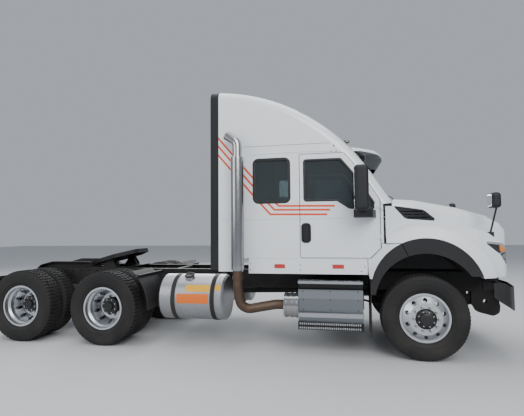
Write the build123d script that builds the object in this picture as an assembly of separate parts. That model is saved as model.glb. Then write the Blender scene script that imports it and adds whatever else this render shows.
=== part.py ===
from build123d import *
import math
import os

# Semi truck tractor unit: tilting bonnet, sleeper cab, one steered and two driven axles.
# Millimetres, modelled with x = 0 at the front axle, +X forward, +Y left, Z = 0 on the road.
# Every piece is moved at the end so that the origin lies under the middle of the length.

# Axles, tyres and rims
WHEELBASE_TO_DRIVE_1 = 4330
TANDEM_SPACING = 1345
TYRE_RADIUS = 520
TYRE_WIDTH = 298
RIM_WIDTH = 236
RIM_FLANGE_RADIUS = 298
RIM_SEAT_RADIUS = 286
RIM_DROP_RADIUS = 262
RIM_SKIN = 12
DISC_OFFSET = 167.5
DISC_SKIN = 20
DISC_FLAT_RADIUS = 188
HUB_BORE_RADIUS = 110
HAND_HOLE_COUNT = 10
HAND_HOLE_RADIUS = 25
HAND_HOLE_CIRCLE = 222
STEER_TYRE_Y = 1034
DUAL_OUTER_Y = 1070
SPINDLE_RADIUS = 42
DRIVE_SPINDLE_RADIUS = 58
DRUM_RADIUS = 208
DRUM_SKIN = 12
RUN_GAP = 0.3
SEAT_GAP = 0.3

# Steering
KINGPIN_Y = 860
KINGPIN_RADIUS = 24
EAR_RADIUS = 46
STEER_ARM = 200
STEER_ARM_Y = KINGPIN_Y
TIE_ROD_Z = 395
TIE_PIN_RADIUS = 11
TIE_EYE_RADIUS = 20
TIE_ROD_RADIUS = 16

# Frame
RAIL_OUTER_Y = 430
RAIL_FLANGE = 85
RAIL_SKIN = 9
RAIL_TOP = 1020
RAIL_DEPTH = 267
RAIL_FRONT_X = 1000
RAIL_REAR_X = -6050
CROSSMEMBER_X = (880, -1420, -2300, -3560, -5003, -6000)
CAB_POST_X = (-2150, -700)

# Drive line
AXLE_TUBE_RADIUS = 76
GEARBOX_REAR_X = -1250
GEARBOX_SHAFT_Z = 690

# Cab shell
CAB_REAR_X = -2300
CAB_FIREWALL_X = -452
CAB_FLOOR_Z = 1230
CAB_COWL_Z = 1930
CAB_HALF = 1080
CAB_WALL = 60
ROOF_CENTRE = (-2856, 872)
ROOF_EDGE_RADIUS = 2738
ROOF_EDGE_Y = 850
CROWN_RADIUS = 4000
CORNER_RADIUS = 130
SCREEN_SLOPE = 57
ROOF_SEAM_Z = 2755
PANEL_GAP = 8
GLASS_SKIN = 8
GLASS_DEPTH = 14
GLASS_GAP = 0.5

# Sun visor
VISOR_LIP = (-356, 2645)
VISOR_RADIUS = 1450
VISOR_LEAN = 20
VISOR_HALF = 880

# Doors
DOOR_REAR_X = -1520
DOOR_FRONT_X = -486
DOOR_TOP_Z = 2622
DOOR_BOTTOM_Z = 1236
DOOR_NOTCH = 134
DOOR_EDGE_RADIUS = 2600
DOOR_GLASS_RADIUS = 2500
DOOR_HINGE = (-478, 1099)
DOOR_HINGE_Z = (1490, 1880)
HINGE_BARREL = 50
DOOR_PIN_RADIUS = 7

# Bonnet and front wings
BONNET_REAR_X = -425
BONNET_WALL = 25
WING_SIDE_Y = 1095
WING_LIP_Y = 1175
WING_SEAM_Z = 1430
ARCH_CENTRE = (34, 821)
ARCH_RADIUS = 670
SWELL_RADIUS = 750
WING_SWELL_RADIUS = 830
FLARE_CENTRE = (30, 690)
FLARE_RADIUS = 612
FLARE_INNER_Y = 640
BONNET_PIVOT = (1060, 985)
BONNET_PIN_RADIUS = 16

# Bumper
BUMPER_FRONT_X = 1140
BUMPER_HALF = 1180
BUMPER_TOP_Z = 905
BUMPER_BOTTOM_Z = 620
BUMPER_SKIN = 12

# Side equipment
SILL_REAR_X = -2215
SILL_BOTTOM_Z = 1030
STEP_REAR_X = -1550
STEP_FRONT_X = -725
STEP_OUTER_Y = 1150
TANK_RADIUS = 318
TANK_Z = 665
TANK_Y = 802
TANK_REAR_X = -3520
TANK_FRONT_X = -2580
TANK_STRAP_X = (-3300, -2730)
STRAP_WIDTH = 60
STRAP_SKIN = 6
STACK_X = -2340
STACK_Y = 1200
PIPE_RADIUS = 63.5
PIPE_SKIN = 4
SHIELD_RADIUS = 86
CAN_RADIUS = 165
CAN_REAR_X = -1744
CAN_Y = 985
CAN_Z = 610
EXTENDER_REAR_X = -2640
EXTENDER_SKIN = 22
EXTENDER_BOTTOM_Z = 1050
SEAL_REAR_X = -2758

# Coupling plate on its pedestals
COUPLING_X = -4720
COUPLING_PIVOT_Z = 1130
COUPLING_TILT = 15.5
COUPLING_HALF = 457
COUPLING_TOP = 84
COUPLING_SKIN = 20
COUPLING_DEPTH = 62
COUPLING_FRONT = 410
COUPLING_REAR = 440
COUPLING_PIN_RADIUS = 25
COUPLING_PIN_Y = 340
KINGPIN_SEAT_RADIUS = 26

FLAP_REAR_X = -6262
FLAP_SKIN = 10

DRIVE_X = (-WHEELBASE_TO_DRIVE_1, -WHEELBASE_TO_DRIVE_1 - TANDEM_SPACING)
ORIGIN_SHIFT = -(BUMPER_FRONT_X + FLAP_REAR_X) / 2
AXLE_Z = TYRE_RADIUS
RAIL_INNER_Y = RAIL_OUTER_Y - RAIL_SKIN
RAIL_BOTTOM = RAIL_TOP - RAIL_DEPTH
RAIL_LIP_Y = RAIL_OUTER_Y - RAIL_FLANGE
DUAL_DISC_Y = DUAL_OUTER_Y - DISC_OFFSET
STEER_DISC_Y = STEER_TYRE_Y + DISC_OFFSET
DOOR_OUTLINE = [
    (DOOR_REAR_X, DOOR_BOTTOM_Z), (DOOR_FRONT_X - DOOR_NOTCH, DOOR_BOTTOM_Z),
    (DOOR_FRONT_X, DOOR_BOTTOM_Z + DOOR_NOTCH), (DOOR_FRONT_X, DOOR_TOP_Z), (DOOR_REAR_X, DOOR_TOP_Z),
]
SIDES = {"left": 1, "right": -1}
NODES = {}


def block(x, y, z):
    """A box from its (low, high) pairs along X, Y and Z."""
    size = [b - a for a, b in (x, y, z)]
    middle = [(a + b) / 2 for a, b in (x, y, z)]
    return Pos(*middle) * Box(*size)


def rod(start, end, radius):
    """A round bar between two points."""
    a, b = Vector(*start), Vector(*end)
    return extrude(Plane(origin=a, z_dir=b - a) * Circle(radius), amount=(b - a).length)


def outline(points, radii=0):
    """A flat face from corner points, each corner rounded by its radius."""
    if radii == 0:
        return make_face(Polyline(*points, close=True))
    return make_face(FilletPolyline(*points, radius=radii, close=True))


def side_prism(face, y):
    """A face drawn as (X, Z) carried across the vehicle from y[0] to y[1]."""
    return Pos(0, y[0], 0) * extrude(Plane.XZ * face, amount=y[1] - y[0], dir=(0, 1, 0))


def plan_prism(face, z):
    """A face drawn as (X, Y) carried upwards from z[0] to z[1]."""
    return Pos(0, 0, z[0]) * extrude(face, amount=z[1] - z[0])


def front_prism(face, x):
    """A face drawn as (Y, Z) carried forwards from x[0] to x[1]."""
    return Pos(x[0], 0, 0) * extrude(Plane.YZ * face, amount=x[1] - x[0])


def both(piece):
    """The piece and its mirror image on the other side of the vehicle."""
    return [piece, mirror(piece, about=Plane.XZ)]


def on_side(piece, side):
    """A piece modelled on the left, placed on the named side."""
    return piece if SIDES[side] == 1 else mirror(piece, about=Plane.XZ)


def spun(points, y, x=0, z=AXLE_Z, out=1):
    """A closed outline of (radius, offset along Y) points spun about an axle at (x, z)."""
    face = make_face(Polyline(*[(r, w * out) for r, w in points], close=True))
    plane = Plane(origin=(x, y, z), x_dir=(0, 0, 1), z_dir=(-1, 0, 0))
    return revolve(plane * face, axis=Axis((x, y, z), (0, 1, 0)))


# Wheels

def tyre(x, y):
    half = TYRE_WIDTH / 2
    bead = RIM_WIDTH / 2 - 14
    seat = RIM_SEAT_RADIUS
    points = [
        (seat, -bead), (RIM_FLANGE_RADIUS + 10, -bead - 6), (360, -half + 6), (415, -half),
        (475, -half + 12), (TYRE_RADIUS - 10, -half + 24), (TYRE_RADIUS, -half + 42),
        (TYRE_RADIUS, half - 42), (TYRE_RADIUS - 10, half - 24), (475, half - 12), (415, half),
        (360, half - 6), (RIM_FLANGE_RADIUS + 10, bead + 6), (seat, bead),
    ]
    return spun(points, y, x)


def rim(x, y, out):
    """One rim with its disc and hand holes. out is +1 where the disc lies towards +Y."""
    half = RIM_WIDTH / 2
    inner_seat = RIM_SEAT_RADIUS - RIM_SKIN
    inner_drop = RIM_DROP_RADIUS - RIM_SKIN
    barrel = [
        (RIM_FLANGE_RADIUS, -half), (RIM_FLANGE_RADIUS, -half + 10), (RIM_SEAT_RADIUS, -half + 14),
        (RIM_SEAT_RADIUS, -half + 60), (RIM_DROP_RADIUS, -half + 85), (RIM_DROP_RADIUS, half - 74),
        (RIM_SEAT_RADIUS, half - 50), (RIM_SEAT_RADIUS, half - 14), (RIM_FLANGE_RADIUS, half - 10),
        (RIM_FLANGE_RADIUS, half), (inner_seat, half), (inner_seat, half - 46),
        (inner_drop, half - 70), (inner_drop, -half + 85), (inner_seat, -half + 60), (inner_seat, -half),
    ]
    face = DISC_OFFSET
    disc = [
        (HUB_BORE_RADIUS, face - DISC_SKIN), (DISC_FLAT_RADIUS, face - DISC_SKIN),
        (inner_drop + 4, half - 96), (inner_seat + 4, half - 40), (inner_seat + 4, half - 16),
        (DISC_FLAT_RADIUS + 4, face), (HUB_BORE_RADIUS, face),
    ]
    body = spun(barrel, y, x, out=out) + spun(disc, y, x, out=out)
    for i in range(HAND_HOLE_COUNT):
        turn = math.radians(360 / HAND_HOLE_COUNT * (i + 0.5))
        hole_x = x + HAND_HOLE_CIRCLE * math.cos(turn)
        hole_z = AXLE_Z + HAND_HOLE_CIRCLE * math.sin(turn)
        body -= rod((hole_x, y, hole_z), (hole_x, y + 220 * out, hole_z), HAND_HOLE_RADIUS)
    return body


def steer_wheel():
    """Front left wheel: rim, disc, hub and brake drum. Offsets count from the disc's outer face."""
    bore = SPINDLE_RADIUS + RUN_GAP
    inner = DRUM_RADIUS - DRUM_SKIN
    hub = [
        (bore, -225), (72, -225), (76, -110), (inner, -80), (inner, -230), (DRUM_RADIUS, -230),
        (DRUM_RADIUS, -60), (HUB_BORE_RADIUS + 50, -DISC_SKIN), (HUB_BORE_RADIUS, -DISC_SKIN),
        (HUB_BORE_RADIUS, 6), (100, 14), (80, 22), (76, 60), (0, 66), (0, 30), (bore, 30),
    ]
    return rim(0, STEER_TYRE_Y, 1) + spun(hub, STEER_DISC_Y)


def drive_wheel(x):
    """A left pair of rims back to back with hub and drum. Offsets count from the joint face."""
    inner_y = DUAL_DISC_Y - DISC_OFFSET
    bore = DRIVE_SPINDLE_RADIUS + RUN_GAP
    inner = DRUM_RADIUS - DRUM_SKIN
    hub = [
        (bore, -190), (92, -190), (96, -90), (inner, -60), (inner, -200), (DRUM_RADIUS, -200),
        (DRUM_RADIUS, -44), (HUB_BORE_RADIUS + 50, -DISC_SKIN), (HUB_BORE_RADIUS, -DISC_SKIN),
        (HUB_BORE_RADIUS, 44), (100, 56), (100, 88), (118, 88), (118, 104), (60, 108), (54, 132),
        (0, 132), (0, 70), (bore, 70),
    ]
    return rim(x, DUAL_OUTER_Y, -1) + rim(x, inner_y, 1) + spun(hub, DUAL_DISC_Y, x)


NODES["wheel_front_left"] = steer_wheel()
NODES["wheel_front_right"] = mirror(NODES["wheel_front_left"], about=Plane.XZ)
NODES["tyre_front_left"] = tyre(0, STEER_TYRE_Y)
NODES["tyre_front_right"] = tyre(0, -STEER_TYRE_Y)
for number, axle_x in enumerate(DRIVE_X, 1):
    pair = drive_wheel(axle_x)
    tyres = [tyre(axle_x, DUAL_OUTER_Y), tyre(axle_x, DUAL_OUTER_Y - 2 * DISC_OFFSET)]
    for side in SIDES:
        NODES[f"wheels_drive_{number}_{side}"] = on_side(pair, side)
        NODES[f"tyres_drive_{number}_{side}"] = [on_side(t, side) for t in tyres]


# Frame

def frame_rail():
    section = [
        (RAIL_OUTER_Y, RAIL_TOP), (RAIL_OUTER_Y, RAIL_BOTTOM), (RAIL_LIP_Y, RAIL_BOTTOM),
        (RAIL_LIP_Y, RAIL_BOTTOM + RAIL_SKIN), (RAIL_INNER_Y, RAIL_BOTTOM + RAIL_SKIN),
        (RAIL_INNER_Y, RAIL_TOP - RAIL_SKIN), (RAIL_LIP_Y, RAIL_TOP - RAIL_SKIN), (RAIL_LIP_Y, RAIL_TOP),
    ]
    rail = front_prism(outline(section), (RAIL_REAR_X, RAIL_FRONT_X))
    low = RAIL_BOTTOM - 1
    tail = outline([(RAIL_REAR_X - 1, low), (RAIL_REAR_X + 170, low), (RAIL_REAR_X - 1, 900)])
    return rail - side_prism(tail, (RAIL_LIP_Y - 1, RAIL_OUTER_Y + 1))


def crossmember(x):
    """A channel between the rails' webs, clear of their flanges."""
    low, high = RAIL_BOTTOM + RAIL_SKIN + 3, RAIL_TOP - RAIL_SKIN - 3
    section = [
        (x - 4, low + 8), (x - 4, high - 8), (x - 64, high - 8), (x - 64, high), (x + 4, high),
        (x + 4, low), (x - 64, low), (x - 64, low + 8),
    ]
    return side_prism(outline(section), (-RAIL_INNER_Y, RAIL_INNER_Y))


def ramp():
    """Rear pick-up ramp: a bent plate on its own legs on top of a rail."""
    top = [(-6046, RAIL_TOP), (-5984, 1067), (-5773, 1119), (-5060, 1119), (-5030, RAIL_TOP)]
    under = [(-6020, RAIL_TOP - 1), (-5978, 1055), (-5771, 1107), (-5069, 1107), (-5042, RAIL_TOP - 1)]
    body = side_prism(outline(top), (RAIL_LIP_Y, RAIL_OUTER_Y))
    return body - side_prism(outline(under), (RAIL_LIP_Y + 12, RAIL_OUTER_Y + 1))


def cab_post(x):
    """A post from a rail's top up to the cab's floor."""
    return block((x - 40, x + 40), (RAIL_LIP_Y, RAIL_OUTER_Y), (RAIL_TOP, CAB_FLOOR_Z - SEAT_GAP))


NODES["frame_rails"] = both(frame_rail())
NODES["crossmembers"] = [crossmember(x) for x in CROSSMEMBER_X] + both(ramp())
for post_x in CAB_POST_X:
    NODES["crossmembers"] += both(cab_post(post_x))


# Front axle and steering

def front_axle():
    """A dropped beam with kingpin bosses, spring pads and kingpins."""
    boss_half = 46
    half = [(0, 372), (600, 372), (760, AXLE_Z - boss_half), (KINGPIN_Y, AXLE_Z - boss_half)]
    upper = [(KINGPIN_Y, AXLE_Z + boss_half), (745, AXLE_Z + boss_half), (570, 455), (0, 455)]
    points = half + upper
    full = points + [(-y, z) for y, z in reversed(points) if y > 0]
    radii = [0 if abs(y) in (0, KINGPIN_Y) else 60 for y, z in full]
    beam = front_prism(outline(full, radii), (-42, 42))
    for pocket_x in ((-60, -14), (14, 60)):
        beam -= block(pocket_x, (-540, 540), (392, 435))
    pad = block((-70, 70), (348, 428), (440, 470))
    boss = rod((0, KINGPIN_Y, AXLE_Z - boss_half), (0, KINGPIN_Y, AXLE_Z + boss_half), EAR_RADIUS)
    pin = rod((0, KINGPIN_Y, AXLE_Z - 86), (0, KINGPIN_Y, AXLE_Z + 86), KINGPIN_RADIUS)
    for piece in both(pad) + both(boss) + both(pin):
        beam += piece
    return beam


def knuckle():
    """Left stub axle: two ears round the kingpin, spindle, brake plate and steering arm."""
    bore = KINGPIN_RADIUS + RUN_GAP
    gap = 46.3
    reach = gap + 34
    body = block((-44, 44), (KINGPIN_Y, KINGPIN_Y + 72), (AXLE_Z - reach, AXLE_Z + reach))
    body += rod((0, KINGPIN_Y, AXLE_Z - reach), (0, KINGPIN_Y, AXLE_Z + reach), EAR_RADIUS)
    body -= rod((0, KINGPIN_Y, AXLE_Z - gap), (0, KINGPIN_Y, AXLE_Z + gap), EAR_RADIUS + 4)
    body -= rod((0, KINGPIN_Y, AXLE_Z - 90), (0, KINGPIN_Y, AXLE_Z + 90), bore)
    spindle_end = STEER_DISC_Y + 25
    body += rod((0, KINGPIN_Y + 66, AXLE_Z), (0, spindle_end, AXLE_Z), SPINDLE_RADIUS)
    body += rod((0, KINGPIN_Y + 72, AXLE_Z), (0, KINGPIN_Y + 84, AXLE_Z), 150)
    eye = (-STEER_ARM, STEER_ARM_Y)
    arm_z = (TIE_ROD_Z + 26, TIE_ROD_Z + 52)
    arm_face = [(20, KINGPIN_Y - 30), (20, KINGPIN_Y + 40), (-60, KINGPIN_Y + 40),
                (-STEER_ARM - 26, STEER_ARM_Y + 24), (-STEER_ARM - 26, STEER_ARM_Y - 26),
                (-STEER_ARM + 24, STEER_ARM_Y - 26)]
    arm = plan_prism(outline(arm_face), arm_z)
    arm -= rod((0, KINGPIN_Y, arm_z[0] - 1), (0, KINGPIN_Y, arm_z[1] + 1), bore)
    body += arm
    body += rod((*eye, TIE_ROD_Z - 26), (*eye, arm_z[0]), TIE_PIN_RADIUS)
    return body


def tie_rod():
    """A bar with an eye round the pin of each steering arm."""
    x, z = -STEER_ARM, TIE_ROD_Z
    body = rod((x, -STEER_ARM_Y, z), (x, STEER_ARM_Y, z), TIE_ROD_RADIUS)
    for y in (-STEER_ARM_Y, STEER_ARM_Y):
        body += rod((x, y, z - 22), (x, y, z + 22), TIE_EYE_RADIUS)
        body -= rod((x, y, z - 23), (x, y, z + 23), TIE_PIN_RADIUS + RUN_GAP)
    return body


def front_spring():
    """A leaf spring with its front hanger casting and its rear shackle."""
    leaf = [(820, 600), (500, 530), (90, 470), (-90, 470), (-500, 540), (-800, 620),
            (-800, 636), (-500, 562), (-90, 520), (90, 520), (500, 552), (820, 616)]
    y = (350, 426)
    body = side_prism(outline(leaf), y)
    body += rod((820, y[0], 612), (820, y[1], 612), 36)
    hanger = [(735, RAIL_BOTTOM), (735, 600), (800, 480), (1000, 430), (1080, 470), (1092, 560),
              (1060, RAIL_BOTTOM), (995, RAIL_BOTTOM)]
    body += side_prism(outline(hanger, [0, 40, 60, 60, 60, 40, 0, 0]), (y[0], y[1]))
    body -= rod((905, y[0] - 1, 624), (905, y[1] + 1, 624), 26)
    body += side_prism(outline([(-840, RAIL_BOTTOM), (-780, RAIL_BOTTOM), (-772, 600), (-828, 600)]), y)
    body += rod((-800, y[0], 628), (-800, y[1], 628), 34)
    return body


NODES["front_axle"] = front_axle()
for side in SIDES:
    NODES[f"knuckle_{side}"] = on_side(knuckle(), side)
NODES["tie_rod"] = tie_rod()


# Driven axles and suspension

def drive_axle(x):
    """Banjo housing with its tubes and spindles, and the pinion nose towards the front."""
    spindle_end = DUAL_DISC_Y + 62
    profile = [
        (0, -spindle_end), (DRIVE_SPINDLE_RADIUS, -spindle_end), (DRIVE_SPINDLE_RADIUS, -700), (150, -700),
        (150, -684), (72, -684), (AXLE_TUBE_RADIUS, -475), (AXLE_TUBE_RADIUS, -330), (190, -150),
        (212, -60), (212, 60), (190, 150), (AXLE_TUBE_RADIUS, 330), (AXLE_TUBE_RADIUS, 475), (72, 684),
        (150, 684), (150, 700), (DRIVE_SPINDLE_RADIUS, 700), (DRIVE_SPINDLE_RADIUS, spindle_end),
        (0, spindle_end),
    ]
    body = spun(profile, 0, x)
    nose = Plane(origin=(x, 0, 600), z_dir=(1, 0, 0.05))
    return body + extrude(nose * Circle(95), amount=250)


def drive_line():
    """Both driven axles with the shafts between them and forwards to the gearbox."""
    flange_z = 614
    body = drive_axle(DRIVE_X[0]) + drive_axle(DRIVE_X[1])
    yoke_x = GEARBOX_REAR_X - SEAT_GAP
    body += rod((yoke_x, 0, GEARBOX_SHAFT_Z), (yoke_x - 80, 0, GEARBOX_SHAFT_Z), 60)
    body += rod((yoke_x - 60, 0, GEARBOX_SHAFT_Z), (DRIVE_X[0] + 240, 0, flange_z), 52)
    return body + rod((DRIVE_X[0] - 150, 0, 580), (DRIVE_X[1] + 240, 0, flange_z), 48)


def suspension_arm(x):
    """Hanger, trailing arm under the axle tube, and air spring up to the rail."""
    y = (385, 475)
    top = AXLE_Z - AXLE_TUBE_RADIUS - 3
    arm = [(x + 560, 560), (x + 560, 630), (x + 500, 640), (x + 150, 460), (x + 100, top), (x - 100, top),
           (x - 220, 470), (x - 440, 470), (x - 440, 420), (x - 200, 396), (x + 110, 390)]
    body = side_prism(outline(arm), y)
    hanger = [(x + 430, RAIL_BOTTOM), (x + 610, RAIL_BOTTOM), (x + 590, 540), (x + 500, 540)]
    body += side_prism(outline(hanger), y)
    tube = rod((x, y[0] - 1, AXLE_Z), (x, y[1] + 1, AXLE_Z), AXLE_TUBE_RADIUS + SEAT_GAP)
    body += block((x - 90, x + 90), y, (top - 4, AXLE_Z - 45)) - tube
    body += rod((x - 330, 430, 468), (x - 330, 430, 520), 80)
    body += rod((x - 330, 430, 510), (x - 330, 430, 700), 112)
    body += rod((x - 330, 430, 690), (x - 330, 430, RAIL_BOTTOM), 100)
    return body


NODES["drive_axles"] = drive_line()
suspension = [front_spring(), suspension_arm(DRIVE_X[0]), suspension_arm(DRIVE_X[1])]
NODES["suspension"] = [solid for piece in suspension for solid in both(piece)]
gearbox = block((GEARBOX_REAR_X, -340), (-230, 230), (GEARBOX_SHAFT_Z - 60, 1190))
engine_mounts = block((300, 400), (-RAIL_INNER_Y, RAIL_INNER_Y), (800, 860))
NODES["engine"] = block((-340, 700), (-330, 330), (650, 1470)) + gearbox + engine_mounts
NODES["radiator"] = block((800, 930), (-RAIL_LIP_Y - 70, RAIL_LIP_Y + 70), (RAIL_TOP, 1610))


# Cab

def roof_sweep(face):
    """A face drawn as (Y, radius) turned about the roof's centre and carried down the windscreen."""
    x, z = ROOF_CENTRE
    lean = math.radians(90 - SCREEN_SLOPE)
    plane = Plane(origin=(x, 0, z), x_dir=(0, 1, 0), z_dir=(math.sin(lean), 0, -math.cos(lean)))
    placed = plane * face
    return revolve(placed, axis=Axis((x, 0, z), (0, 1, 0))) + extrude(placed, amount=1500)


def cab_section(inset):
    """Flat sides, rounded corners and a crowned top."""
    half = CAB_HALF - inset
    crown = ROOF_EDGE_RADIUS + ROOF_EDGE_Y ** 2 / (2 * CROWN_RADIUS) - inset
    edge = crown - half ** 2 / (2 * CROWN_RADIUS)
    top = ThreePointArc((-half, edge), (0, crown), (half, edge))
    rest = Polyline((half, edge), (half, 0), (-half, 0), (-half, edge))
    face = make_face([top, rest])
    corners = face.vertices().sort_by(Axis.Y)[-2:]
    return fillet(corners, CORNER_RADIUS - inset)


def cab_limits(inset):
    """Side outline that bounds the cab behind, below and in front of the windscreen's foot."""
    rear, floor, firewall = CAB_REAR_X + inset, CAB_FLOOR_Z + inset, CAB_FIREWALL_X - inset
    points = [
        (rear, floor), (firewall, floor), (firewall, CAB_COWL_Z + inset), (-140, CAB_COWL_Z + 40 + inset),
        (300, 2250), (300, 4200), (rear, 4200),
    ]
    return side_prism(outline(points), (-1500, 1500))


def cab_solid(inset):
    return roof_sweep(cab_section(inset)) & cab_limits(inset)


def edge_zone(radius):
    """The side-view region under the roof line at the given radius, as a flat (X, Z) face."""
    x, z = ROOF_CENTRE
    lean = math.radians(90 - SCREEN_SLOPE)
    up, down = (math.cos(lean), math.sin(lean)), (math.sin(lean), -math.cos(lean))
    tangent = (x + radius * up[0], z + radius * up[1])
    reach = 1500
    slab = outline([
        (x, z), tangent, (tangent[0] + reach * down[0], tangent[1] + reach * down[1]),
        (x + reach * down[0], z + reach * down[1]),
    ])
    return Pos(x, z) * Circle(radius) + slab


def door_face():
    face = outline(DOOR_OUTLINE) & edge_zone(DOOR_EDGE_RADIUS)
    corners = [v for v in face.vertices() if v.Y > DOOR_TOP_Z - 1 or v.Y < DOOR_BOTTOM_Z + 1]
    return fillet(corners, 28)


def door_glass_face():
    points = [(-1443, 2525), (-1443, 2002), (-1020, 2002), (-870, 1900), (-575, 1880), (-575, 2525)]
    face = outline(points) & edge_zone(DOOR_GLASS_RADIUS)
    return fillet(face.vertices(), 24)


SLEEPER_WINDOW = outline([(-2122, 1998), (-1670, 1998), (-1670, 2551), (-2122, 2551)], 45)
SCREEN_HALF_TOP, SCREEN_HALF_FOOT = 900, 965
SCREEN_FACE = outline([
    (-SCREEN_HALF_FOOT, 2030), (SCREEN_HALF_FOOT, 2030), (SCREEN_HALF_TOP, 2600), (-SCREEN_HALF_TOP, 2600),
], 70)
DOOR_FACE = door_face()
DOOR_GLASS_FACE = door_glass_face()
HOLE_BAND = (CAB_HALF - CAB_WALL - 14, CAB_HALF + 40)
DOOR_BAND = (CAB_HALF - CAB_WALL - 6, CAB_HALF + 40)

cab_outer = cab_solid(0)
cab_inner = cab_solid(CAB_WALL)
glass_layer = cab_solid(GLASS_DEPTH) - cab_solid(GLASS_DEPTH + GLASS_SKIN)
cab_shell = cab_outer - cab_inner

door_zone = side_prism(DOOR_FACE, HOLE_BAND)
door_fit = side_prism(offset(DOOR_FACE, -PANEL_GAP, kind=Kind.INTERSECTION), DOOR_BAND)
door_hole = side_prism(DOOR_GLASS_FACE, HOLE_BAND)
door_pane = side_prism(offset(DOOR_GLASS_FACE, -GLASS_GAP, kind=Kind.INTERSECTION), HOLE_BAND)
sleeper_hole = side_prism(SLEEPER_WINDOW, HOLE_BAND)
sleeper_pane = side_prism(offset(SLEEPER_WINDOW, -GLASS_GAP, kind=Kind.INTERSECTION), HOLE_BAND)
screen_hole = front_prism(SCREEN_FACE, (-1050, 400))
screen_pane = front_prism(offset(SCREEN_FACE, -GLASS_GAP, kind=Kind.INTERSECTION), (-1050, 400))


def door_leaf(z):
    """A hinge leaf on the door's skin with its barrel round the pin."""
    x, y = DOOR_HINGE
    strap = block((x - 80, x - 16), (CAB_HALF - 6, CAB_HALF + 12), (z, z + HINGE_BARREL))
    tongue = block((x - 30, x), (CAB_HALF + 8, CAB_HALF + 15), (z, z + HINGE_BARREL))
    barrel = rod((x, y, z), (x, y, z + HINGE_BARREL), 12)
    bore = rod((x, y, z - 1), (x, y, z + HINGE_BARREL + 1), DOOR_PIN_RADIUS + RUN_GAP)
    return strap + tongue + barrel - bore


def pillar_lugs(z):
    """Two lugs on the windscreen pillar that hold a hinge pin above and below the barrel."""
    x, y = DOOR_HINGE
    body = rod((x, y, z - 21), (x, y, z + HINGE_BARREL + 21), DOOR_PIN_RADIUS)
    for low in (z - 21, z + HINGE_BARREL + 5):
        body += block((x - 6, x + 14), (CAB_HALF - 20, y + 10), (low, low + 16))
    return body


# The door keeps the cab's own skin and wall, cut a panel gap inside its hole.
left_door = (cab_shell & door_fit) - door_hole
for hinge_z in DOOR_HINGE_Z:
    left_door += door_leaf(hinge_z)
for side in SIDES:
    NODES[f"door_{side}"] = on_side(left_door, side)
    NODES[f"door_glass_{side}"] = on_side(glass_layer & door_pane, side)

below_seam = block((-2400, 400), (-1300, 1300), (1000, ROOF_SEAM_Z))
cab_body = cab_shell & below_seam
for cutter in both(door_zone) + both(sleeper_hole) + [screen_hole]:
    cab_body -= cutter
NODES["roof_fairing"] = cab_shell - below_seam
NODES["cab_glass"] = [glass_layer & screen_pane] + both(glass_layer & sleeper_pane)


def extender(inset, skin, x, bottom):
    """The cab's section carried rearwards as a thin shell."""
    shell = roof_sweep(cab_section(inset)) - roof_sweep(cab_section(inset + skin))
    return shell & block(x, (-1300, 1300), (bottom, 4000))


NODES["extenders"] = extender(
    0, EXTENDER_SKIN, (EXTENDER_REAR_X, CAB_REAR_X - SEAT_GAP), EXTENDER_BOTTOM_Z)
NODES["extender_seals"] = extender(4, 12, (SEAL_REAR_X, EXTENDER_REAR_X), EXTENDER_BOTTOM_Z + 20)


def sun_visor():
    """A thin hooded blade turned about an axis that leans back, trimmed where it meets the roof."""
    lean = math.radians(VISOR_LEAN)
    back = (-math.cos(lean), -math.sin(lean))
    foot = (VISOR_LIP[0] + VISOR_RADIUS * back[0], 0, VISOR_LIP[1] + VISOR_RADIUS * back[1])
    profile = [
        (-860, 2868), (-620, 2818), (-440, 2772), (-366, 2705), VISOR_LIP, (-450, 2500),
        (-462, 2508), (-370, 2648), (-379, 2700), (-447, 2760), (-623, 2806), (-862, 2856),
    ]
    axis = Axis(foot, (-math.sin(lean), 0, math.cos(lean)))
    blade = revolve(Plane.XZ * outline(profile), axis=axis, revolution_arc=90)
    blade = blade + mirror(blade, about=Plane.XZ)
    return (blade & block((-1300, 0), (-VISOR_HALF, VISOR_HALF), (2300, 3000))) - cab_solid(-SEAT_GAP)


NODES["sun_visor"] = sun_visor()


# Interior

def seat_base(y):
    """Pedestal of one seat."""
    return block((-1420, -1120), (y - 160, y + 160), (CAB_FLOOR_Z + CAB_WALL, 1620))


def seat_pads(y):
    """Cushion and leaning back of one seat facing forwards."""
    cushion = block((-1520, -1020), (y - 250, y + 250), (1620 + SEAT_GAP, 1760))
    back_face = outline([(-1520, 1780), (-1400, 1770), (-1490, 2430), (-1590, 2430)], 30)
    back = side_prism(back_face, (y - 240, y + 240))
    return cushion + back + block((-1520, -1420), (y - 120, y + 120), (1740, 1800))


SEAT_Y = 520
floor_z = CAB_FLOOR_Z + CAB_WALL
bunk_base = block((-2238, -1660), (-1015, 1015), (floor_z, floor_z + 420))
bunk = block((-2230, -1640), (-1000, 1000), (floor_z + 420 + SEAT_GAP, floor_z + 570))
NODES["cab_bases"] = [seat_base(SEAT_Y), seat_base(-SEAT_Y), bunk_base]
NODES["seats"] = [seat_pads(SEAT_Y), seat_pads(-SEAT_Y)]
NODES["bunk"] = bunk
DASH_X = CAB_FIREWALL_X - CAB_WALL - SEAT_GAP
dash_face = outline([
    (DASH_X, floor_z + 250), (-720, floor_z + 300), (-780, 1860), (-760, 1960), (-560, 2000), (DASH_X, 2000),
], [0, 40, 40, 40, 20, 0])


def steering_wheel():
    """Ring, spokes and column, tilted towards the driver."""
    plane = Plane(origin=(-960, SEAT_Y, 1980), x_dir=(0, 1, 0), z_dir=(-0.6, 0, 0.8))
    ring = plane * Torus(225, 16)
    hub = extrude(plane * Circle(70), amount=-40)
    spokes = plane * (Box(430, 34, 14) + Pos(0, -110, 0) * Box(34, 210, 14))
    column = rod((-960, SEAT_Y, 1980), (-690, SEAT_Y, 1620), 28)
    return ring + hub + spokes + column


NODES["dashboard"] = side_prism(dash_face, (-1000, 1000)) + steering_wheel()


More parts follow.
